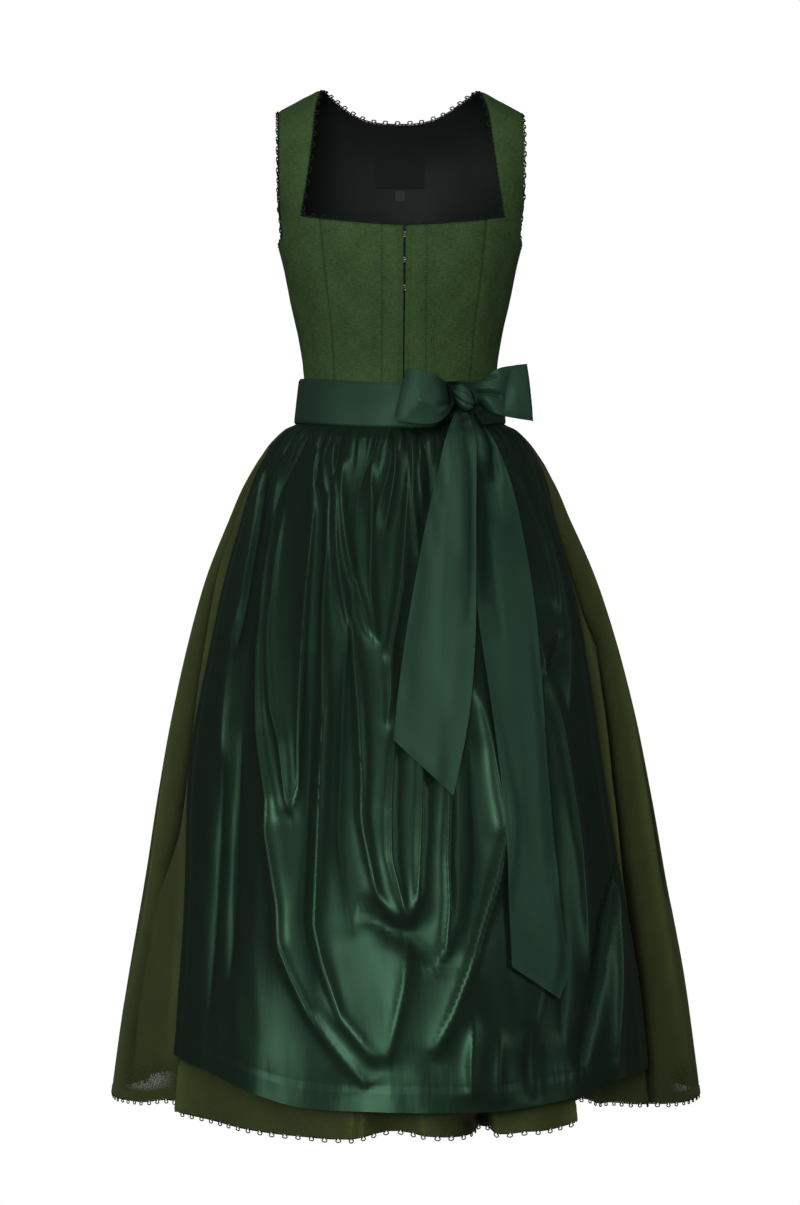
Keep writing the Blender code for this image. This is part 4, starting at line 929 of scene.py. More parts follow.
def back_folds():
    """Folds like those in front, spread unevenly round the back."""
    for k in range(22):
        drawn = [float(chance(k, seed)) for seed in (2.0, 3.0, 4.0, 5.0, 6.0, 7.0)]
        angle = 97.0 + 7.7 * k + 3.0 * drawn[0]
        top, low = -412.0 - 150.0 * drawn[1], -760.0 - 430.0 * drawn[2]
        lean = 5.0 * (drawn[3] - 0.5)
        height = (5.0 + 4.0 * drawn[4]) * (-1.0 if k % 3 == 0 else 1.0)
        width = 9.0 + 8.0 * drawn[5]
        middle = (angle + lean * 0.7, (top + low) / 2)
        yield height, width, width * 0.8, 6.0, ((angle, top), middle, (angle + lean, low))


ALL_SKIRT_FOLDS = (*SKIRT_FOLDS, *back_folds())


def skirt_form(angle, z):
    """The skirt's surface: points, outward directions, how far out, and painted shading: painted
    shade in the folds' hollows, painted light on their ridges.
    """
    turned = (np.asarray(angle, float) + 180) % 360 - 180
    steps = sum(rise * ease(turned, *start) * ease(turned, *end) for rise, start, end in HEM_STEPS)
    height = z + (around(turned, "rise") + steps) * ease(z, -900.0, HEM_Z)
    point, outward = section(angle, height)
    edge = np.where(turned < 0, -apron_edge(height, "right_hand"), apron_edge(height, "left_hand"))
    shown = ease(np.abs(turned), edge - 1.0, edge + 5.0)
    folds = sum(
        creases((angle + lap) * MEAN_DEGREE, height, ALL_SKIRT_FOLDS, MEAN_DEGREE)
        for lap in (-360, 0, 360)
    )
    folds = folds * np.clip(degree_length(height) / MEAN_DEGREE, 0.4, 1.3)
    folds = folds * ease(height, -404.0, -470.0)
    covered = line(APRON_HEM, turned)
    low = creases(turned * MEAN_DEGREE, height, HEM_FOLDS, MEAN_DEGREE)
    low = low * ease(height, covered + 3.0, covered - 14.0)
    pull = 0.5 * ripple(turned * MEAN_DEGREE, height * 0.25, 17, 40.0)
    small = skirt_gathers(turned, height) + folds + pull * ease(height, -420.0, -600.0)
    out = around(turned, "out") * wave_share(height) + low + shown * small
    # Painted shade in the hollows of the folds and hem folds, painted light on their ridges.
    return point, outward, out, np.clip((folds * shown + low) / 7.0, -1.4, 1.0)


def skirt_piece(node, start, end, count, cloth, held_to, **cut):
    fine = np.linspace(start, end, 2000)
    closer = sum(bell(fine, middle, reach, 4) for middle, reach in FINE_PLACES)
    share = np.cumsum(1.0 + 1.6 * closer)
    columns = np.interp(np.linspace(share[0], share[-1], count), share, fine)
    rows = ((-374.3, -400.0, 6), (-402.0, -480.0, 30), (-487.0, -1182.0, 94), (-1186.0, HEM_Z, 10))
    angle, z = np.meshgrid(columns, filled(rows))
    # A narrow hem is a little thicker than the cloth, with a dip where it is stitched.
    above = z - HEM_Z
    roll = 0.5 * ease(above, SKIRT_HEM, SKIRT_HEM - 1.5) - 0.5 * bell(above, SKIRT_HEM, 1.0)
    seam = -0.9 * bell(np.minimum(angle - start, end - angle) * MEAN_DEGREE, 0.0, 1.5)
    point, outward, out, painted_shading = skirt_form(angle, z)
    outside = point + outward * (out + roll + seam)[..., None]
    inside = point + outward * (out - SKIRT_WALL)[..., None]
    piece = shell(node.replace("skirt", "skirt_cloth"), outside, inside, [cloth])
    thin = bell(z, *SHEER_LEVEL, 4) * ease(above, 9.0, 13.0)
    paint(piece, "sheer", thin * sum(bell(angle, *corner, 4) for corner in SHEER_CORNERS))
    # Painted shade and painted light on the skirt's folds.
    paint(piece, "painted_shading", painted_shading)
    stands_for(piece, node, "skirt_cloth", held="gathered", rests_on=held_to, **cut)


def build_skirt(cloth):
    front = ["bodice_front_centre_left", "bodice_front_centre_right"]
    back = ["bodice_back_centre"]
    skirt_piece("skirt_front", -90.0, 90.0, 340, cloth, front, flat=(1.1, 0.84), area=0.77)
    skirt_piece("skirt_back_left", 90.0, 180.0, 200, cloth, back, flat=(0.56, 0.84), area=0.39)
    skirt_piece("skirt_back_right", 180.0, 270.0, 200, cloth, back, flat=(0.56, 0.84), area=0.39)


# ---------------------------------------------------------------- the apron


def apron_edge(z, name):
    return at_height(APRON_EDGES, name, z)


def uneven(share, z, count, seed):
    """Counts gathers that differ in width and lean to and fro on their way down."""
    turn = 2 * math.pi * count * share
    phase = count * share + 0.30 * np.sin(turn / 5.3 + seed)
    phase = phase + 0.12 * np.sin(turn / 2.7 + 2.1 * seed)
    return phase + 0.24 * np.sin(turn / 4.3 + (z - GATHER_TOP_Z) / 24.0 + 1.7 * seed)


def apron_out(angle, z, share):
    """How far the apron's inside stands off the skirt's plain section, and its folds."""
    s = angle * MEAN_DEGREE
    folds = creases(s, z, BROAD_LINES, MEAN_DEGREE) + creases(s, z, FINE_LINES, MEAN_DEGREE)
    folds = np.maximum(folds, -5.0) * ease(z, -402.0, -430.0)
    folds = folds * np.clip(degree_length(z) / MEAN_DEGREE, 0.5, 1.2)
    pull = 0.5 * ripple(s, z * 0.4, 23, 30.0)
    body = 5.0 * ease(z, -401.0, -414.0) * ease(np.minimum(share, 1 - share), 0.0, 0.05)
    gathers = tucks(uneven(share, z, APRON_GATHERS, 1.0), z, *APRON_SMALL)
    gathers = gathers + tucks(uneven(share, z * 0.6, APRON_GATHERS * 0.47, 4.0), z, *APRON_LARGE)
    stand = APRON_LIFT + line(APRON_WAVES, angle) * wave_share(z) + gathers
    return stand + np.maximum(folds + pull + body, 0.3), folds + gathers


def apron_form(share, z):
    """The apron's surface, as the skirt's, with painted shading: share runs from its right-hand to
    its left-hand edge.
    """
    first, last = apron_edge(z, "right_hand"), apron_edge(z, "left_hand")
    angle = first + (last - first) * share
    reach = (line(APRON_HEM, angle) - GATHER_TOP_Z) / (APRON_LOW_Z - GATHER_TOP_Z)
    turning = ease(z, APRON_LEVEL_Z, APRON_LOW_Z)
    height = GATHER_TOP_Z + (z - GATHER_TOP_Z) * (1 + (reach - 1) * turning)
    point, outward = section(angle, height)
    out, folds = apron_out(angle, height, share)
    # Painted shade in the hollows below the folds' softened level, painted light on the ridges
    # above it.
    level = softened(folds, bell(np.arange(-30, 31), 0.0, 15.0))
    return point, outward, out, np.clip((folds - level) / 4.0, -1.0, 1.0)


def build_apron(taffeta):
    rows = ((-400.3, -480.0, 27), (-486.0, -1130.0, 86), (-1134.5, APRON_LOW_Z, 11))
    share, z = np.meshgrid(np.linspace(0.0, 1.0, 396), filled(rows))
    above = z - APRON_LOW_Z
    stitched = -0.6 * bell(above, APRON_HEM_DEPTH, 1.6)
    hem = 0.5 * ease(above, APRON_HEM_DEPTH + 1.5, APRON_HEM_DEPTH) + stitched
    pucker = ripple(share * 900.0, above * 0.15, 71, 13.0) * bell(above, APRON_HEM_DEPTH, 14.0)
    pucker = pucker * 0.35 * (0.3 + bell(share, 0.72, 0.13))
    side = np.minimum(share, 1 - share) * APRON_WIDTH
    narrow = 0.5 * ease(side, APRON_SIDE_HEM, APRON_SIDE_HEM - 1.0)
    narrow = narrow - 0.5 * bell(side, APRON_SIDE_HEM, 0.8)
    point, outward, out, painted_shading = apron_form(share, z)
    outside = point + outward * (out + TAFFETA_WALL + hem + pucker + narrow)[..., None]
    inside = point + outward * out[..., None]
    piece = shell("apron_taffeta", outside, inside, [taffeta])
    # Painted shade and painted light on the apron's folds and gathers.
    paint(piece, "painted_shading", painted_shading)
    stands_for(piece, "apron_panel", "apron_taffeta", flat=(0.64, 0.79), held="gathered",
        rests_on=["apron_band"])
    return outside


def build_band(ribbon):
    """The flat waistband, with drawn creases where it goes into the bow."""
    rows = ((BAND_TOP_Z, -349.5, 4), (-351.0, -396.0, 24), (-397.5, BAND_LOW_Z, 4))
    angle, z = np.meshgrid(np.arange(300) * 1.2, filled(rows))
    middle, outward = section(angle, z, BAND_SECTIONS)
    turned = (angle + 180) % 360 - 180
    pleats = np.sin((z + 373) / 50 * (5.0 + 0.16 * (turned - 20)) * math.pi + 0.6)
    drawn = 0.9 * bell(turned, 27.0, 30.0) * pleats
    sag = 0.6 * ripple(turned * 2.1, (z + 373) * 2.0, 51, 110.0)
    edge = np.minimum(BAND_TOP_Z - z, z - BAND_LOW_Z)
    outside = middle + (drawn + sag - 0.6 - bell(edge, 0.0, 1.3))[..., None] * outward
    piece = shell("waistband", outside, middle - BAND_WALL * outward, [ribbon], ring=True)
    # Painted shading: painted shade and light across the drawn creases, a faint painted shade all
    # over, and deep painted shade beside the knot.
    paint(piece, "painted_shading", 0.35 * drawn - 0.15 - 1.1 * bell(turned, 25.0, 9.0, 4))
    stands_for(piece, "apron_band", "ribbon_taffeta", flat=(0.74, 0.053), held="stretched",
        rests_on=["skirt_front", "bodice_front_centre_left"])
    return outside


# ---------------------------------------------------------------- the bow and its tails


def front_surface(*grids):
    """Finds how far forward the pieces behind a ribbon stand at a place seen from the front."""
    trees = []
    for outside, ring in grids:
        faces = quads(numbered(*outside.shape[:2], ring))
        trees.append(BVHTree.FromPolygons(outside.reshape(-1, 3).tolist(), faces.tolist()))

    def depth(x, z):
        start, towards = Vector((x, -900.0, z)), Vector((0.0, 1.0, 0.0))
        hits = [tree.ray_cast(start, towards, 900.0)[0] for tree in trees]
        return min((hit.y for hit in hits if hit is not None), default=0.0)

    return depth


def ribbon_tail(node, columns, lift, reach, behind, ribbon, seed, painted_brightness, flat):
    """A ribbon hanging over the band's edge and the apron, between its two narrow hemmed edges."""
    count, wide = 110, 30
    edges = by_row(columns, np.linspace(0.0, 1.0, count) ** 1.2)
    share = np.linspace(0.0, 1.0, wide)
    x = spread(edges["left_x"], edges["right_x"], share)
    z = spread(edges["left_z"], edges["right_z"], share)
    coarse_rows = np.linspace(0, count - 1, 28).round().astype(int)
    shifts = np.linspace(-reach, reach, 7)
    coarse = np.array([
        [min(behind(x[row, k] + shift, z[row, k]) for shift in shifts) for k in range(wide)]
        for row in coarse_rows
    ])
    level = [smooth(coarse_rows, column, np.arange(count)) for column in coarse.T]
    level = softened(np.stack(level, axis=1), bell(np.linspace(-2, 2, 9), 0.0, 1.0))
    middle = np.stack([x, level - lift, z], axis=-1)
    across, down = lengths(middle, 1), lengths(middle, 0)
    edge, low = np.minimum(across, across[:, -1:] - across), down[-1:] - down
    hem = sum(
        0.4 * ease(gap, width - 0.2, width - 0.8) - 0.35 * bell(gap, width, 0.7)
        for gap, width in zip((edge, low), RIBBON_HEMS)
    )
    folds = creases(x, z, RIBBON_CREASES[node])
    wave = folds + 0.8 * ripple(across, down * 0.4, seed, 90.0) + 0.6
    front = middle.copy()
    front[..., 1] -= TAIL_WALL * 0.7 + np.maximum(hem + wave, -0.4)
    piece = shell(node.replace("ribbon_tail", "tail"), front, middle, [ribbon])
    # Painted shading: an even painted brightness over the whole tail, lighter on the short one and
    # darker on the long one, painted shade and light on the creases, and painted shade at the top
    # under the knot.
    paint(piece, "painted_shading", painted_brightness + np.clip(folds / 3.6, -1.0, 0.3) - 0.9 * bell(down, 0.0, 22.0))
    stands_for(piece, node, "ribbon_taffeta", flat=flat, held="hung",
        rests_on=["bow_knot", "apron_panel"])


def bow_loop(node, columns, ribbon, seed, flip):
    """One loop of the bow, drawn into pleats where it leaves the knot."""
    stations = np.linspace(0.0, 1.0, 97)
    edge = by_row(columns, stations)
    share = np.linspace(0.0, 1.0, 41)[:, None]
    x = edge["x_top"] + (edge["x_bottom"] - edge["x_top"]) * share
    z = edge["z_top"] + (edge["z_bottom"] - edge["z_top"]) * share
    middle = np.stack([x, np.broadcast_to(edge["y"], x.shape), z], axis=-1)
    along = np.gradient(middle, axis=1)
    sideways = np.stack([-along[..., 1], along[..., 0], np.zeros_like(x)], axis=-1)
    sideways /= np.linalg.norm(sideways, axis=-1, keepdims=True)
    inward = sideways * math.copysign(1.0, sideways[20, 5, 1])
    swell = LOOP_SWELL * np.sin(math.pi * share) * np.sin(math.pi * np.minimum(stations * 2, 1.0))
    soft = 0.5 * ripple(share * 60.0, stations * 160.0, seed, 45.0)
    outside = middle - inward * (swell + soft)[..., None]
    shown = ease(stations, 0.53, 0.44) * ease(stations, 0.0, 0.06)
    folds = creases(outside[..., 0], outside[..., 2], RIBBON_CREASES[node]) * shown
    outside[..., 1] -= folds
    inside = outside + inward * TAFFETA_WALL
    piece = shell(node.replace("bow_loop", "loop"), outside, inside, [ribbon], flip=flip)
    # Painted shade where the loop leaves the knot and along its return behind, with painted shade
    # and light on its creases.
    painted_knot_shade = 1.2 * bell(stations, 0.0, 0.075) + 0.6 * ease(stations, 0.5, 0.56)
    paint(piece, "painted_shading", np.clip(folds / 4.5, -1.0, 0.35) - painted_knot_shade)
    stands_for(piece, node, "ribbon_taffeta", flat=(0.055, 0.15), held="folded",
        rests_on=["bow_knot", "apron_band"])


def bow_knot(ribbon, band_front):
    """The wrapped knot: a tilted pillow with drawn creases round its girth."""
    half = math.pi / 2
    turn, rise = np.meshgrid(np.linspace(0.0, 4 * half, 97)[:-1], np.linspace(-half, half, 49))
    x, y, z = np.cos(turn) * np.cos(rise), np.sin(turn) * np.cos(rise), np.sin(rise)
    slant = 0.72 * z + 0.69 * x
    crease = 1 - 0.13 * bell(slant, 0.38, 0.10) - 0.12 * bell(slant, -0.36, 0.11)
    crease = crease - 0.05 * bell(slant - 0.2 * z, 0.02, 0.07)
    px, py, pz = (
        np.sign(value) * np.abs(value) ** KNOT_SQUARENESS * size * crease
        for value, size in zip((x, y, z), KNOT_HALF_SIZE)
    )
    lean = math.radians(KNOT_TILT)
    knot_x = KNOT_CENTRE[0] + px * math.cos(lean) + pz * math.sin(lean)
    knot_z = KNOT_CENTRE[2] + pz * math.cos(lean) - px * math.sin(lean)
    seat = np.array([band_front(a, b) for a, b in zip(knot_x.ravel(), knot_z.ravel())])
    knot_y = np.minimum(KNOT_CENTRE[1] + py, seat.reshape(x.shape) - KNOT_SEAT)
    points = np.stack([knot_x, knot_y, knot_z], axis=-1).reshape(-1, 3)
    rows, columns = x.shape
    # The cloth's map runs along the wrap and across it.
    wrap = np.meshgrid(np.linspace(0.0, 70.0, columns + 1), np.linspace(-20.0, 20.0, rows))
    uv = quads(np.stack(wrap, axis=-1))[:, TURNED]
    faces = quads(numbered(rows, columns, True))[:, TURNED].tolist()
    piece = add_piece("knot", points, faces, [ribbon], uv)
    work = bmesh.new()
    work.from_mesh(piece.data)
    bmesh.ops.remove_doubles(work, verts=work.verts, dist=1e-6)
    bmesh.ops.recalc_face_normals(work, faces=work.faces)
    work.to_mesh(piece.data)
    work.free()
    stands_for(piece, "bow_knot", "ribbon_taffeta", flat=(0.026, 0.055), held="folded",
        rests_on=["apron_band"])


def build_bow(ribbon, apron_outside, band_outside):
    band = (band_outside, True)
    behind = front_surface((apron_outside, False), band)
    bow_loop("bow_loop_right_hand", RIGHT_HAND_LOOP, ribbon, 2, True)
    bow_loop("bow_loop_left_hand", LEFT_HAND_LOOP, ribbon, 5, False)
    bow_knot(ribbon, front_surface(band))
    lift = TAIL_LIFT + TAIL_WALL + TAILS_APART
    # Each tail's even painted brightness comes after its seed.
    for node, columns, up, reach, seed, painted_brightness, flat in (
        ("ribbon_tail_long", LONG_TAIL, TAIL_LIFT, 8.0, 61, -0.1, (0.062, 0.7)),
        ("ribbon_tail_short", SHORT_TAIL, lift, 18.0, 67, 0.2, (0.075, 0.44)),
    ):
        ribbon_tail(node, columns, up, reach, behind, ribbon, seed, painted_brightness, flat)


# ---------------------------------------------------------------- picot edging

# One picot, a round ring on two feet: along the edge in loop widths from its middle, and away from
# it in loop heights.
RING_TURNS = np.radians(np.linspace(-152.0, 152.0, 19))
PICOT = (
    (-0.62, 0.0), (-0.34, 0.0), *zip(0.45 * np.sin(RING_TURNS), 0.57 + 0.43 * np.cos(RING_TURNS)),
    (0.34, 0.0), (0.62, 0.0),
)
CHAIN_STITCH = 2.6  # the length of one


def torso_edge(angle, path):
    """Points of an edge of the bodice, in the middle of its wall, with the cloth's normal."""
    normal = torso_normal(angle, path)
    return torso(angle, path) - normal * LINEN_WALL / 2, normal


def neckline_edge():
    grids = (front_centre_grid(), front_side_grid(), back_centre_grid())
    first = len(SIDE_FINE) - 1
    middle = grids[2][0].shape[1] // 2
    neck = middle + BACK_NECK_FINE
    angle, path = (
        np.array([*centre[-1, :-1], *side[first:, 0], *back[-1, neck:middle - 1:-1]])
        for centre, side, back in zip(*grids)
    )
    return torso_edge(np.concatenate([angle, -angle[-2::-1]]), np.concatenate([path, path[-2::-1]]))


def armhole_edge(side):
    grids = (front_side_grid(), back_centre_grid(), back_side_grid())
    under = int(np.argmin(np.abs(SIDE_FINE - UNDERARM_Z)))
    back_under = int(np.argmin(np.abs(BACK_FINE - UNDERARM_Z)))
    meet = len(BACK_FINE) - 1
    angle, path = (
        np.array([*front[under:, -1], *strap[:meet:-1, -1], *back[:back_under:-1, -1]])
        for front, strap, back in zip(*grids)
    )
    return torso_edge(side * angle, path)


def picot(node, edge, normal, pitch, thread, closed=True, turn=1.0, outward=None, tall=1.0):
    """Crochet loops along an edge, with chain stitches lying against the cloth between them."""
    if outward is None:
        outward = np.cross(normal, heading(edge, closed)) * turn
    grids = [edge, outward, normal]
    if closed:
        grids = [np.vstack([grid, grid[:1]]) for grid in grids]
    run = run_of(grids[0])

    def spot(at):
        found, out, face = (read(at, run, grid) for grid in grids)
        return found, unit(out), unit(face)

    count = max(1, round(run[-1] / pitch))
    path = []
    for k in range(count):
        middle = (k + 0.5 + 0.05 * (float(chance(k, 3.0)) - 0.5)) * run[-1] / count
        size = 0.94 + 0.12 * float(chance(k, 4.0))
        for along, away in PICOT:
            found, out, face = spot(middle + along * PICOT_WIDTH * size)
            lift = SEAM_GAP + PICOT_THREAD / 2 + away * (PICOT_HEIGHT - PICOT_THREAD) * size * tall
            curl = 0.35 * math.sin(3.0 * k + 2.0) * away
            path.append(found + out * lift + face * curl)
    facing = np.repeat([[0.05, -1.0, 0.1]], len(path), axis=0)
    strands = [strand(path, PICOT_THREAD * 0.56, 6, facing, closed)]
    stitches = int(run[-1] / CHAIN_STITCH)
    bump = np.array([0.0, 0.45, 0.0])[:, None]
    for k in range(stitches):
        found, out, face = spot((k + np.array([0.1, 0.5, 0.9])) * run[-1] / stitches)
        side = 1 if k % 2 else -1
        stitch = found + out * 0.5 + face * side * (0.28 + bump)
        strands.append(strand(stitch, (0.5, 0.75, 0.5), 5, out))
    stands_for(threads(node.replace("picot", "crochet"), strands, thread), node, "picot_thread")


def build_trim(thread):
    picot("picot_neckline", *neckline_edge(), NECK_PITCH, thread, closed=False)
    for side, word in ((1, "left"), (-1, "right")):
        edge = armhole_edge(side)
        picot("picot_armhole_" + word, *edge, ARMHOLE_PITCH, thread, turn=-side, tall=0.6)
    around_it = np.linspace(-180.0, 180.0, 721)[:-1]
    point, outward, out, _ = skirt_form(around_it, np.full(len(around_it), HEM_Z))
    hem = point + outward * (out - SKIRT_WALL / 2)[..., None]
    down = np.repeat([[0.0, 0.0, -1.0]], len(hem), axis=0)
    picot("picot_hem", hem, unit(outward), HEM_PITCH, thread, outward=down)


# ---------------------------------------------------------------- finishes


def shader_of(name, colour, roughness, **sockets):
    made = bpy.data.materials.new(name)
    made.use_nodes = True
    shader = made.node_tree.nodes["Principled BSDF"]
    shader.inputs["Base Color"].default_value = (*colour, 1.0)
    shader.inputs["Roughness"].default_value = roughness
    for label, value in sockets.items():
        shader.inputs[label.replace("_", " ")].default_value = value
    return made, made.node_tree, shader


def add_node(tree, kind, **inputs):
    node = tree.nodes.new(kind)
    for label, value in inputs.items():
        node.inputs[label].default_value = value
    return node


def painted(tree, name):
    node = tree.nodes.new("ShaderNodeAttribute")
    node.attribute_name = name
    return node.outputs["Fac"]


def streaks(tree, where, across, along, detail=3.0):
    """Noise drawn out into threads: sizes in millimetres across and along."""
    mapping = add_node(tree, "ShaderNodeMapping", Scale=(1000.0 / across, 1000.0 / along, 1.0))
    tree.links.new(where, mapping.inputs["Vector"])
    noise = add_node(tree, "ShaderNodeTexNoise", Scale=1.0, Detail=detail)
    tree.links.new(mapping.outputs["Vector"], noise.inputs["Vector"])
    return noise.outputs["Fac"]


def maths(tree, operation, *values, clamp=False):
    node = tree.nodes.new("ShaderNodeMath")
    node.operation = operation
    node.use_clamp = clamp
    for socket, value in zip(node.inputs, values):
        if isinstance(value, (int, float)):
            socket.default_value = value
        else:
            tree.links.new(value, socket)
    return node.outputs[0]


def between(tree, amount, low, high):
    """A colour from low to high."""
    mix = tree.nodes.new("ShaderNodeMix")
    mix.data_type = "RGBA"
    tree.links.new(amount, mix.inputs["Factor"])
    mix.inputs["A"].default_value = (*low, 1.0)
    mix.inputs["B"].default_value = (*high, 1.0)
    return mix.outputs["Result"]


def thinned(made, share):
    """Lets some light through the cloth where it is painted sheer."""
    tree = made.node_tree
    speckle = add_node(tree, "ShaderNodeTexNoise", Scale=420.0, Detail=2.0)
    above = maths(tree, "SUBTRACT", speckle.outputs["Fac"], 0.36)
    open_weave = maths(tree, "MULTIPLY", maths(tree, "MULTIPLY", above, 3.6, clamp=True), share)
    through = maths(tree, "MULTIPLY", painted(tree, "sheer"), open_weave)
    shader = tree.nodes["Principled BSDF"]
    tree.links.new(maths(tree, "SUBTRACT", 1.0, through), shader.inputs["Alpha"])


def woven(name, colour, shades, roughness, thread, slub, bump, crumple=0.0, painted_shading=None, **sockets):
    """Plain-woven cloth: warp and weft threads with slubs, in colour and in height.

    Shades are the darkest and the lightest share of the colour, thread is the threads' size and
    slub the length of their thick places, in millimetres. Crumple is the height of long faint
    creases. Painted shading is how much painted shade deepens the colour in the folds' hollows and
    painted light lifts it on ridges, and how much gloss dulls in the hollows.
    """
    made, tree, shader = shader_of(name, colour, roughness, **sockets)
    where = tree.nodes.new("ShaderNodeUVMap")
    where.uv_map = "cloth"
    where = where.outputs["UV"]
    warp = streaks(tree, where, thread, slub)
    weft = streaks(tree, where, slub * 0.8, thread * 1.1)
    cloud = streaks(tree, where, 38.0, 52.0, 2.0)
    mixed = maths(tree, "MULTIPLY_ADD", warp, 0.45, maths(tree, "MULTIPLY", weft, 0.55))
    shade = maths(tree, "MULTIPLY_ADD", mixed, 0.8, maths(tree, "MULTIPLY", cloud, 0.2))
    shade = maths(tree, "SUBTRACT", shade, 0.5)
    contrast = maths(tree, "MULTIPLY_ADD", shade, 3.2, 0.5, clamp=True)
    low, high = (tuple(value * share for value in colour) for share in shades)
    shown = between(tree, contrast, low, high)
    # Painted shade and painted light: a painted value per point darkens the colour in the folds'
    # hollows and lifts it on ridges.
    if painted_shading:
        depth = painted(tree, "painted_shading")
        scaled = tree.nodes.new("ShaderNodeVectorMath")
        scaled.operation = "SCALE"
        tree.links.new(shown, scaled.inputs[0])
        tree.links.new(maths(tree, "MULTIPLY_ADD", depth, painted_shading[0], 1.0), scaled.inputs["Scale"])
        shown = scaled.outputs[0]
        if painted_shading[1]:
            hollow = maths(tree, "MAXIMUM", maths(tree, "MULTIPLY", depth, -1.0), 0.0)
            dull = maths(tree, "MULTIPLY_ADD", hollow, painted_shading[1], roughness)
            tree.links.new(dull, shader.inputs["Roughness"])
    tree.links.new(shown, shader.inputs["Base Color"])
    height = add_node(tree, "ShaderNodeBump", Strength=1.0, Distance=bump * METRE)
    tree.links.new(mixed, height.inputs["Height"])
    if crumple:
        creased = add_node(tree, "ShaderNodeBump", Strength=1.0, Distance=crumple * METRE)
        tree.links.new(streaks(tree, where, 11.0, 110.0), creased.inputs["Height"])
        tree.links.new(creased.outputs["Normal"], height.inputs["Normal"])
    tree.links.new(height.outputs["Normal"], shader.inputs["Normal"])
    return made


# ---------------------------------------------------------------- camera, light and the dress

CAMERA_DISTANCE = 3.7  # in metres, as everything here
CAMERA_LEVEL = -0.614
CAMERA_TURN = math.radians(-2.5)
FRAME_HEIGHT = 1.446  # what the frame takes in at the dress
SENSOR = 36.0
FLOOR_LEVEL = -1.45
FLOOR_RADIUS = 0.57

# Each light's place, target, size and power, and whether it shows in gloss.
LIGHTS = {
    "key": ((-0.6, -3.4, -0.4), (0.0, 0.0, -0.8), (0.8, 1.0), 31.0, True),
    "top": ((-0.4, -1.4, 1.9), (-0.2, -0.6, -0.5), (0.25, 1.6), 8.0, True),
    "left": ((-2.6, -1.9, -0.55), (0.0, 0.0, -0.7), (0.9, 0.8), 16.0, True),
    "fill": ((0.0, -3.0, 1.2), (0.0, 0.0, -0.6), (2.2, 2.2), 45.0, False),
    "right": ((2.6, -1.4, -0.3), (0.0, 0.0, -0.7), (0.5, 1.4), 5.0, True),
    "back_left": ((1.7, 2.9, 0.3), (0.0, 0.0, -0.6), (1.2, 1.8), 34.0, False),
    "back_right": ((-1.9, 2.7, 0.5), (0.0, 0.0, -0.6), (1.2, 1.8), 26.0, False),
}


def camera():
    eye = bpy.data.cameras.new("camera")
    eye.sensor_fit = "VERTICAL"
    eye.sensor_height = SENSOR
    eye.lens = SENSOR * CAMERA_DISTANCE / FRAME_HEIGHT
    eye.clip_start, eye.clip_end = 0.1, 50.0
    made = place("camera", eye)
    x, y = CAMERA_DISTANCE * math.sin(CAMERA_TURN), -CAMERA_DISTANCE * math.cos(CAMERA_TURN)
    made.location = (x, y, CAMERA_LEVEL)
    made.rotation_euler = (math.radians(90.0), 0.0, CAMERA_TURN)
    bpy.context.scene.camera = made


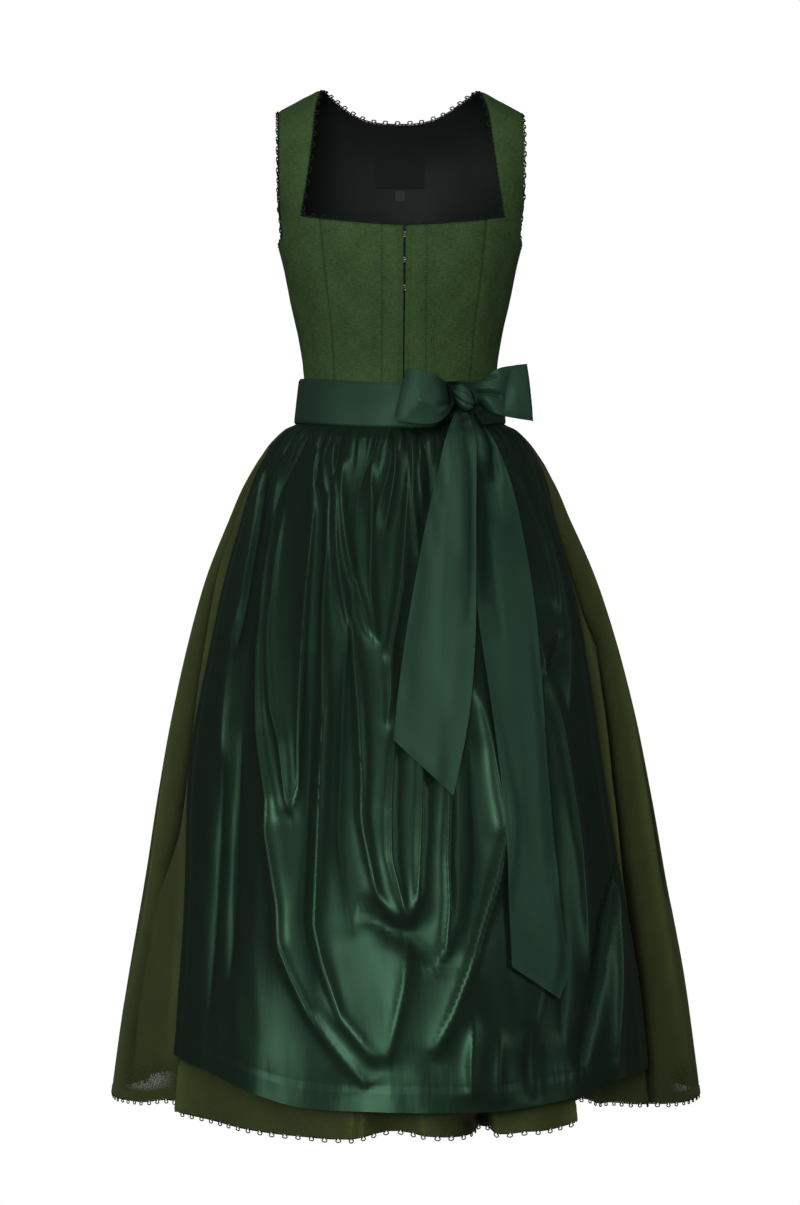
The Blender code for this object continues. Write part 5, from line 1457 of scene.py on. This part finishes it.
def studio():
    for name, (where, target, size, power, glossy) in LIGHTS.items():
        light = bpy.data.lights.new(name, "AREA")
        light.shape = "RECTANGLE"
        light.size, light.size_y = size
        light.energy = power
        made = place(name, light)
        made.location = where
        made.rotation_euler = (Vector(target) - Vector(where)).to_track_quat("-Z", "Y").to_euler()
        made.visible_glossy = glossy
    world = bpy.data.worlds.new("studio")
    world.use_nodes = True
    tree = world.node_tree
    background = tree.nodes["Background"]
    # White as a backdrop, and a faint even light on the dress.
    seen = tree.nodes.new("ShaderNodeLightPath").outputs["Is Camera Ray"]
    tree.links.new(maths(tree, "MULTIPLY_ADD", seen, 0.95, 0.05), background.inputs["Strength"])
    background.inputs["Color"].default_value = (1.0, 1.0, 1.0, 1.0)
    bpy.context.scene.world = world
    bpy.context.scene.view_settings.view_transform = "Standard"
    work = bmesh.new()
    bmesh.ops.create_circle(work, cap_ends=True, segments=96, radius=FLOOR_RADIUS)
    bmesh.ops.translate(work, verts=work.verts, vec=(0.0, 0.0, FLOOR_LEVEL))
    mesh = bpy.data.meshes.new("floor")
    work.to_mesh(mesh)
    work.free()
    pale, tree, shader = shader_of("floor", (0.86, 0.86, 0.86), 0.9)
    mottle = add_node(tree, "ShaderNodeTexNoise", Scale=3.0, Detail=2.0).outputs["Fac"]
    shown = between(tree, mottle, (0.84, 0.84, 0.84), (0.88, 0.88, 0.88))
    tree.links.new(shown, shader.inputs["Base Color"])
    mesh.materials.append(pale)
    place("floor", mesh)


def main():
    matt = {"Specular_IOR_Level": 0.12}
    # The last pair given to a cloth: how strongly painted shade and painted light change its
    # colour, and how much its gloss dulls in hollows.
    linen = woven("bodice_linen", (0.038, 0.073, 0.025), (0.5, 1.7), 0.9, 0.7, 9.0, 0.35,
        painted_shading=(0.5, 0.0), Specular_IOR_Level=0.15)
    cloth = woven("skirt_cloth", (0.0345, 0.0455, 0.014), (0.65, 1.4), 0.85, 0.5, 4.0, 0.12,
        painted_shading=(0.6, 0.0), Specular_IOR_Level=0.15, Sheen_Weight=0.08,
        Sheen_Tint=(0.6, 0.75, 0.3, 1.0))
    taffeta = woven("apron_taffeta", (0.0072, 0.0138, 0.0084), (0.8, 1.2), 0.33, 0.35, 8.0, 0.03,
        0.22, (0.5, 0.35), Specular_IOR_Level=0.5, Specular_Tint=(0.40, 1.0, 0.6, 1.0))
    ribbon = woven("ribbon_taffeta", (0.0185, 0.044, 0.0275), (0.85, 1.15), 0.45, 0.35, 8.0, 0.03,
        0.12, (0.7, 0.1), Specular_IOR_Level=0.35, Specular_Tint=(0.45, 1.0, 0.65, 1.0))
    satin = woven("lining_satin", (0.011, 0.014, 0.012), (0.9, 1.1), 0.5, 0.3, 6.0, 0.02, **matt)
    label = woven("woven_label", (0.010, 0.012, 0.011), (0.8, 1.2), 0.7, 0.3, 1.0, 0.05, **matt)
    tag = woven("size_tag", (0.032, 0.036, 0.036), (0.8, 1.2), 0.7, 0.3, 1.0, 0.05, **matt)
    thread = woven("picot_thread", (0.010, 0.017, 0.012), (0.7, 1.3), 0.75, 0.4, 1.0, 0.1, **matt)
    metal = shader_of("hook_metal", (0.6, 0.6, 0.58), 0.28, Metallic=1.0)[0]
    thinned(cloth, 0.5)
    build_bodice(linen, satin, label, tag, metal, thread)
    build_skirt(cloth)
    apron_outside = build_apron(taffeta)
    build_bow(ribbon, apron_outside, build_band(ribbon))
    build_trim(thread)
    camera()
    studio()


main()
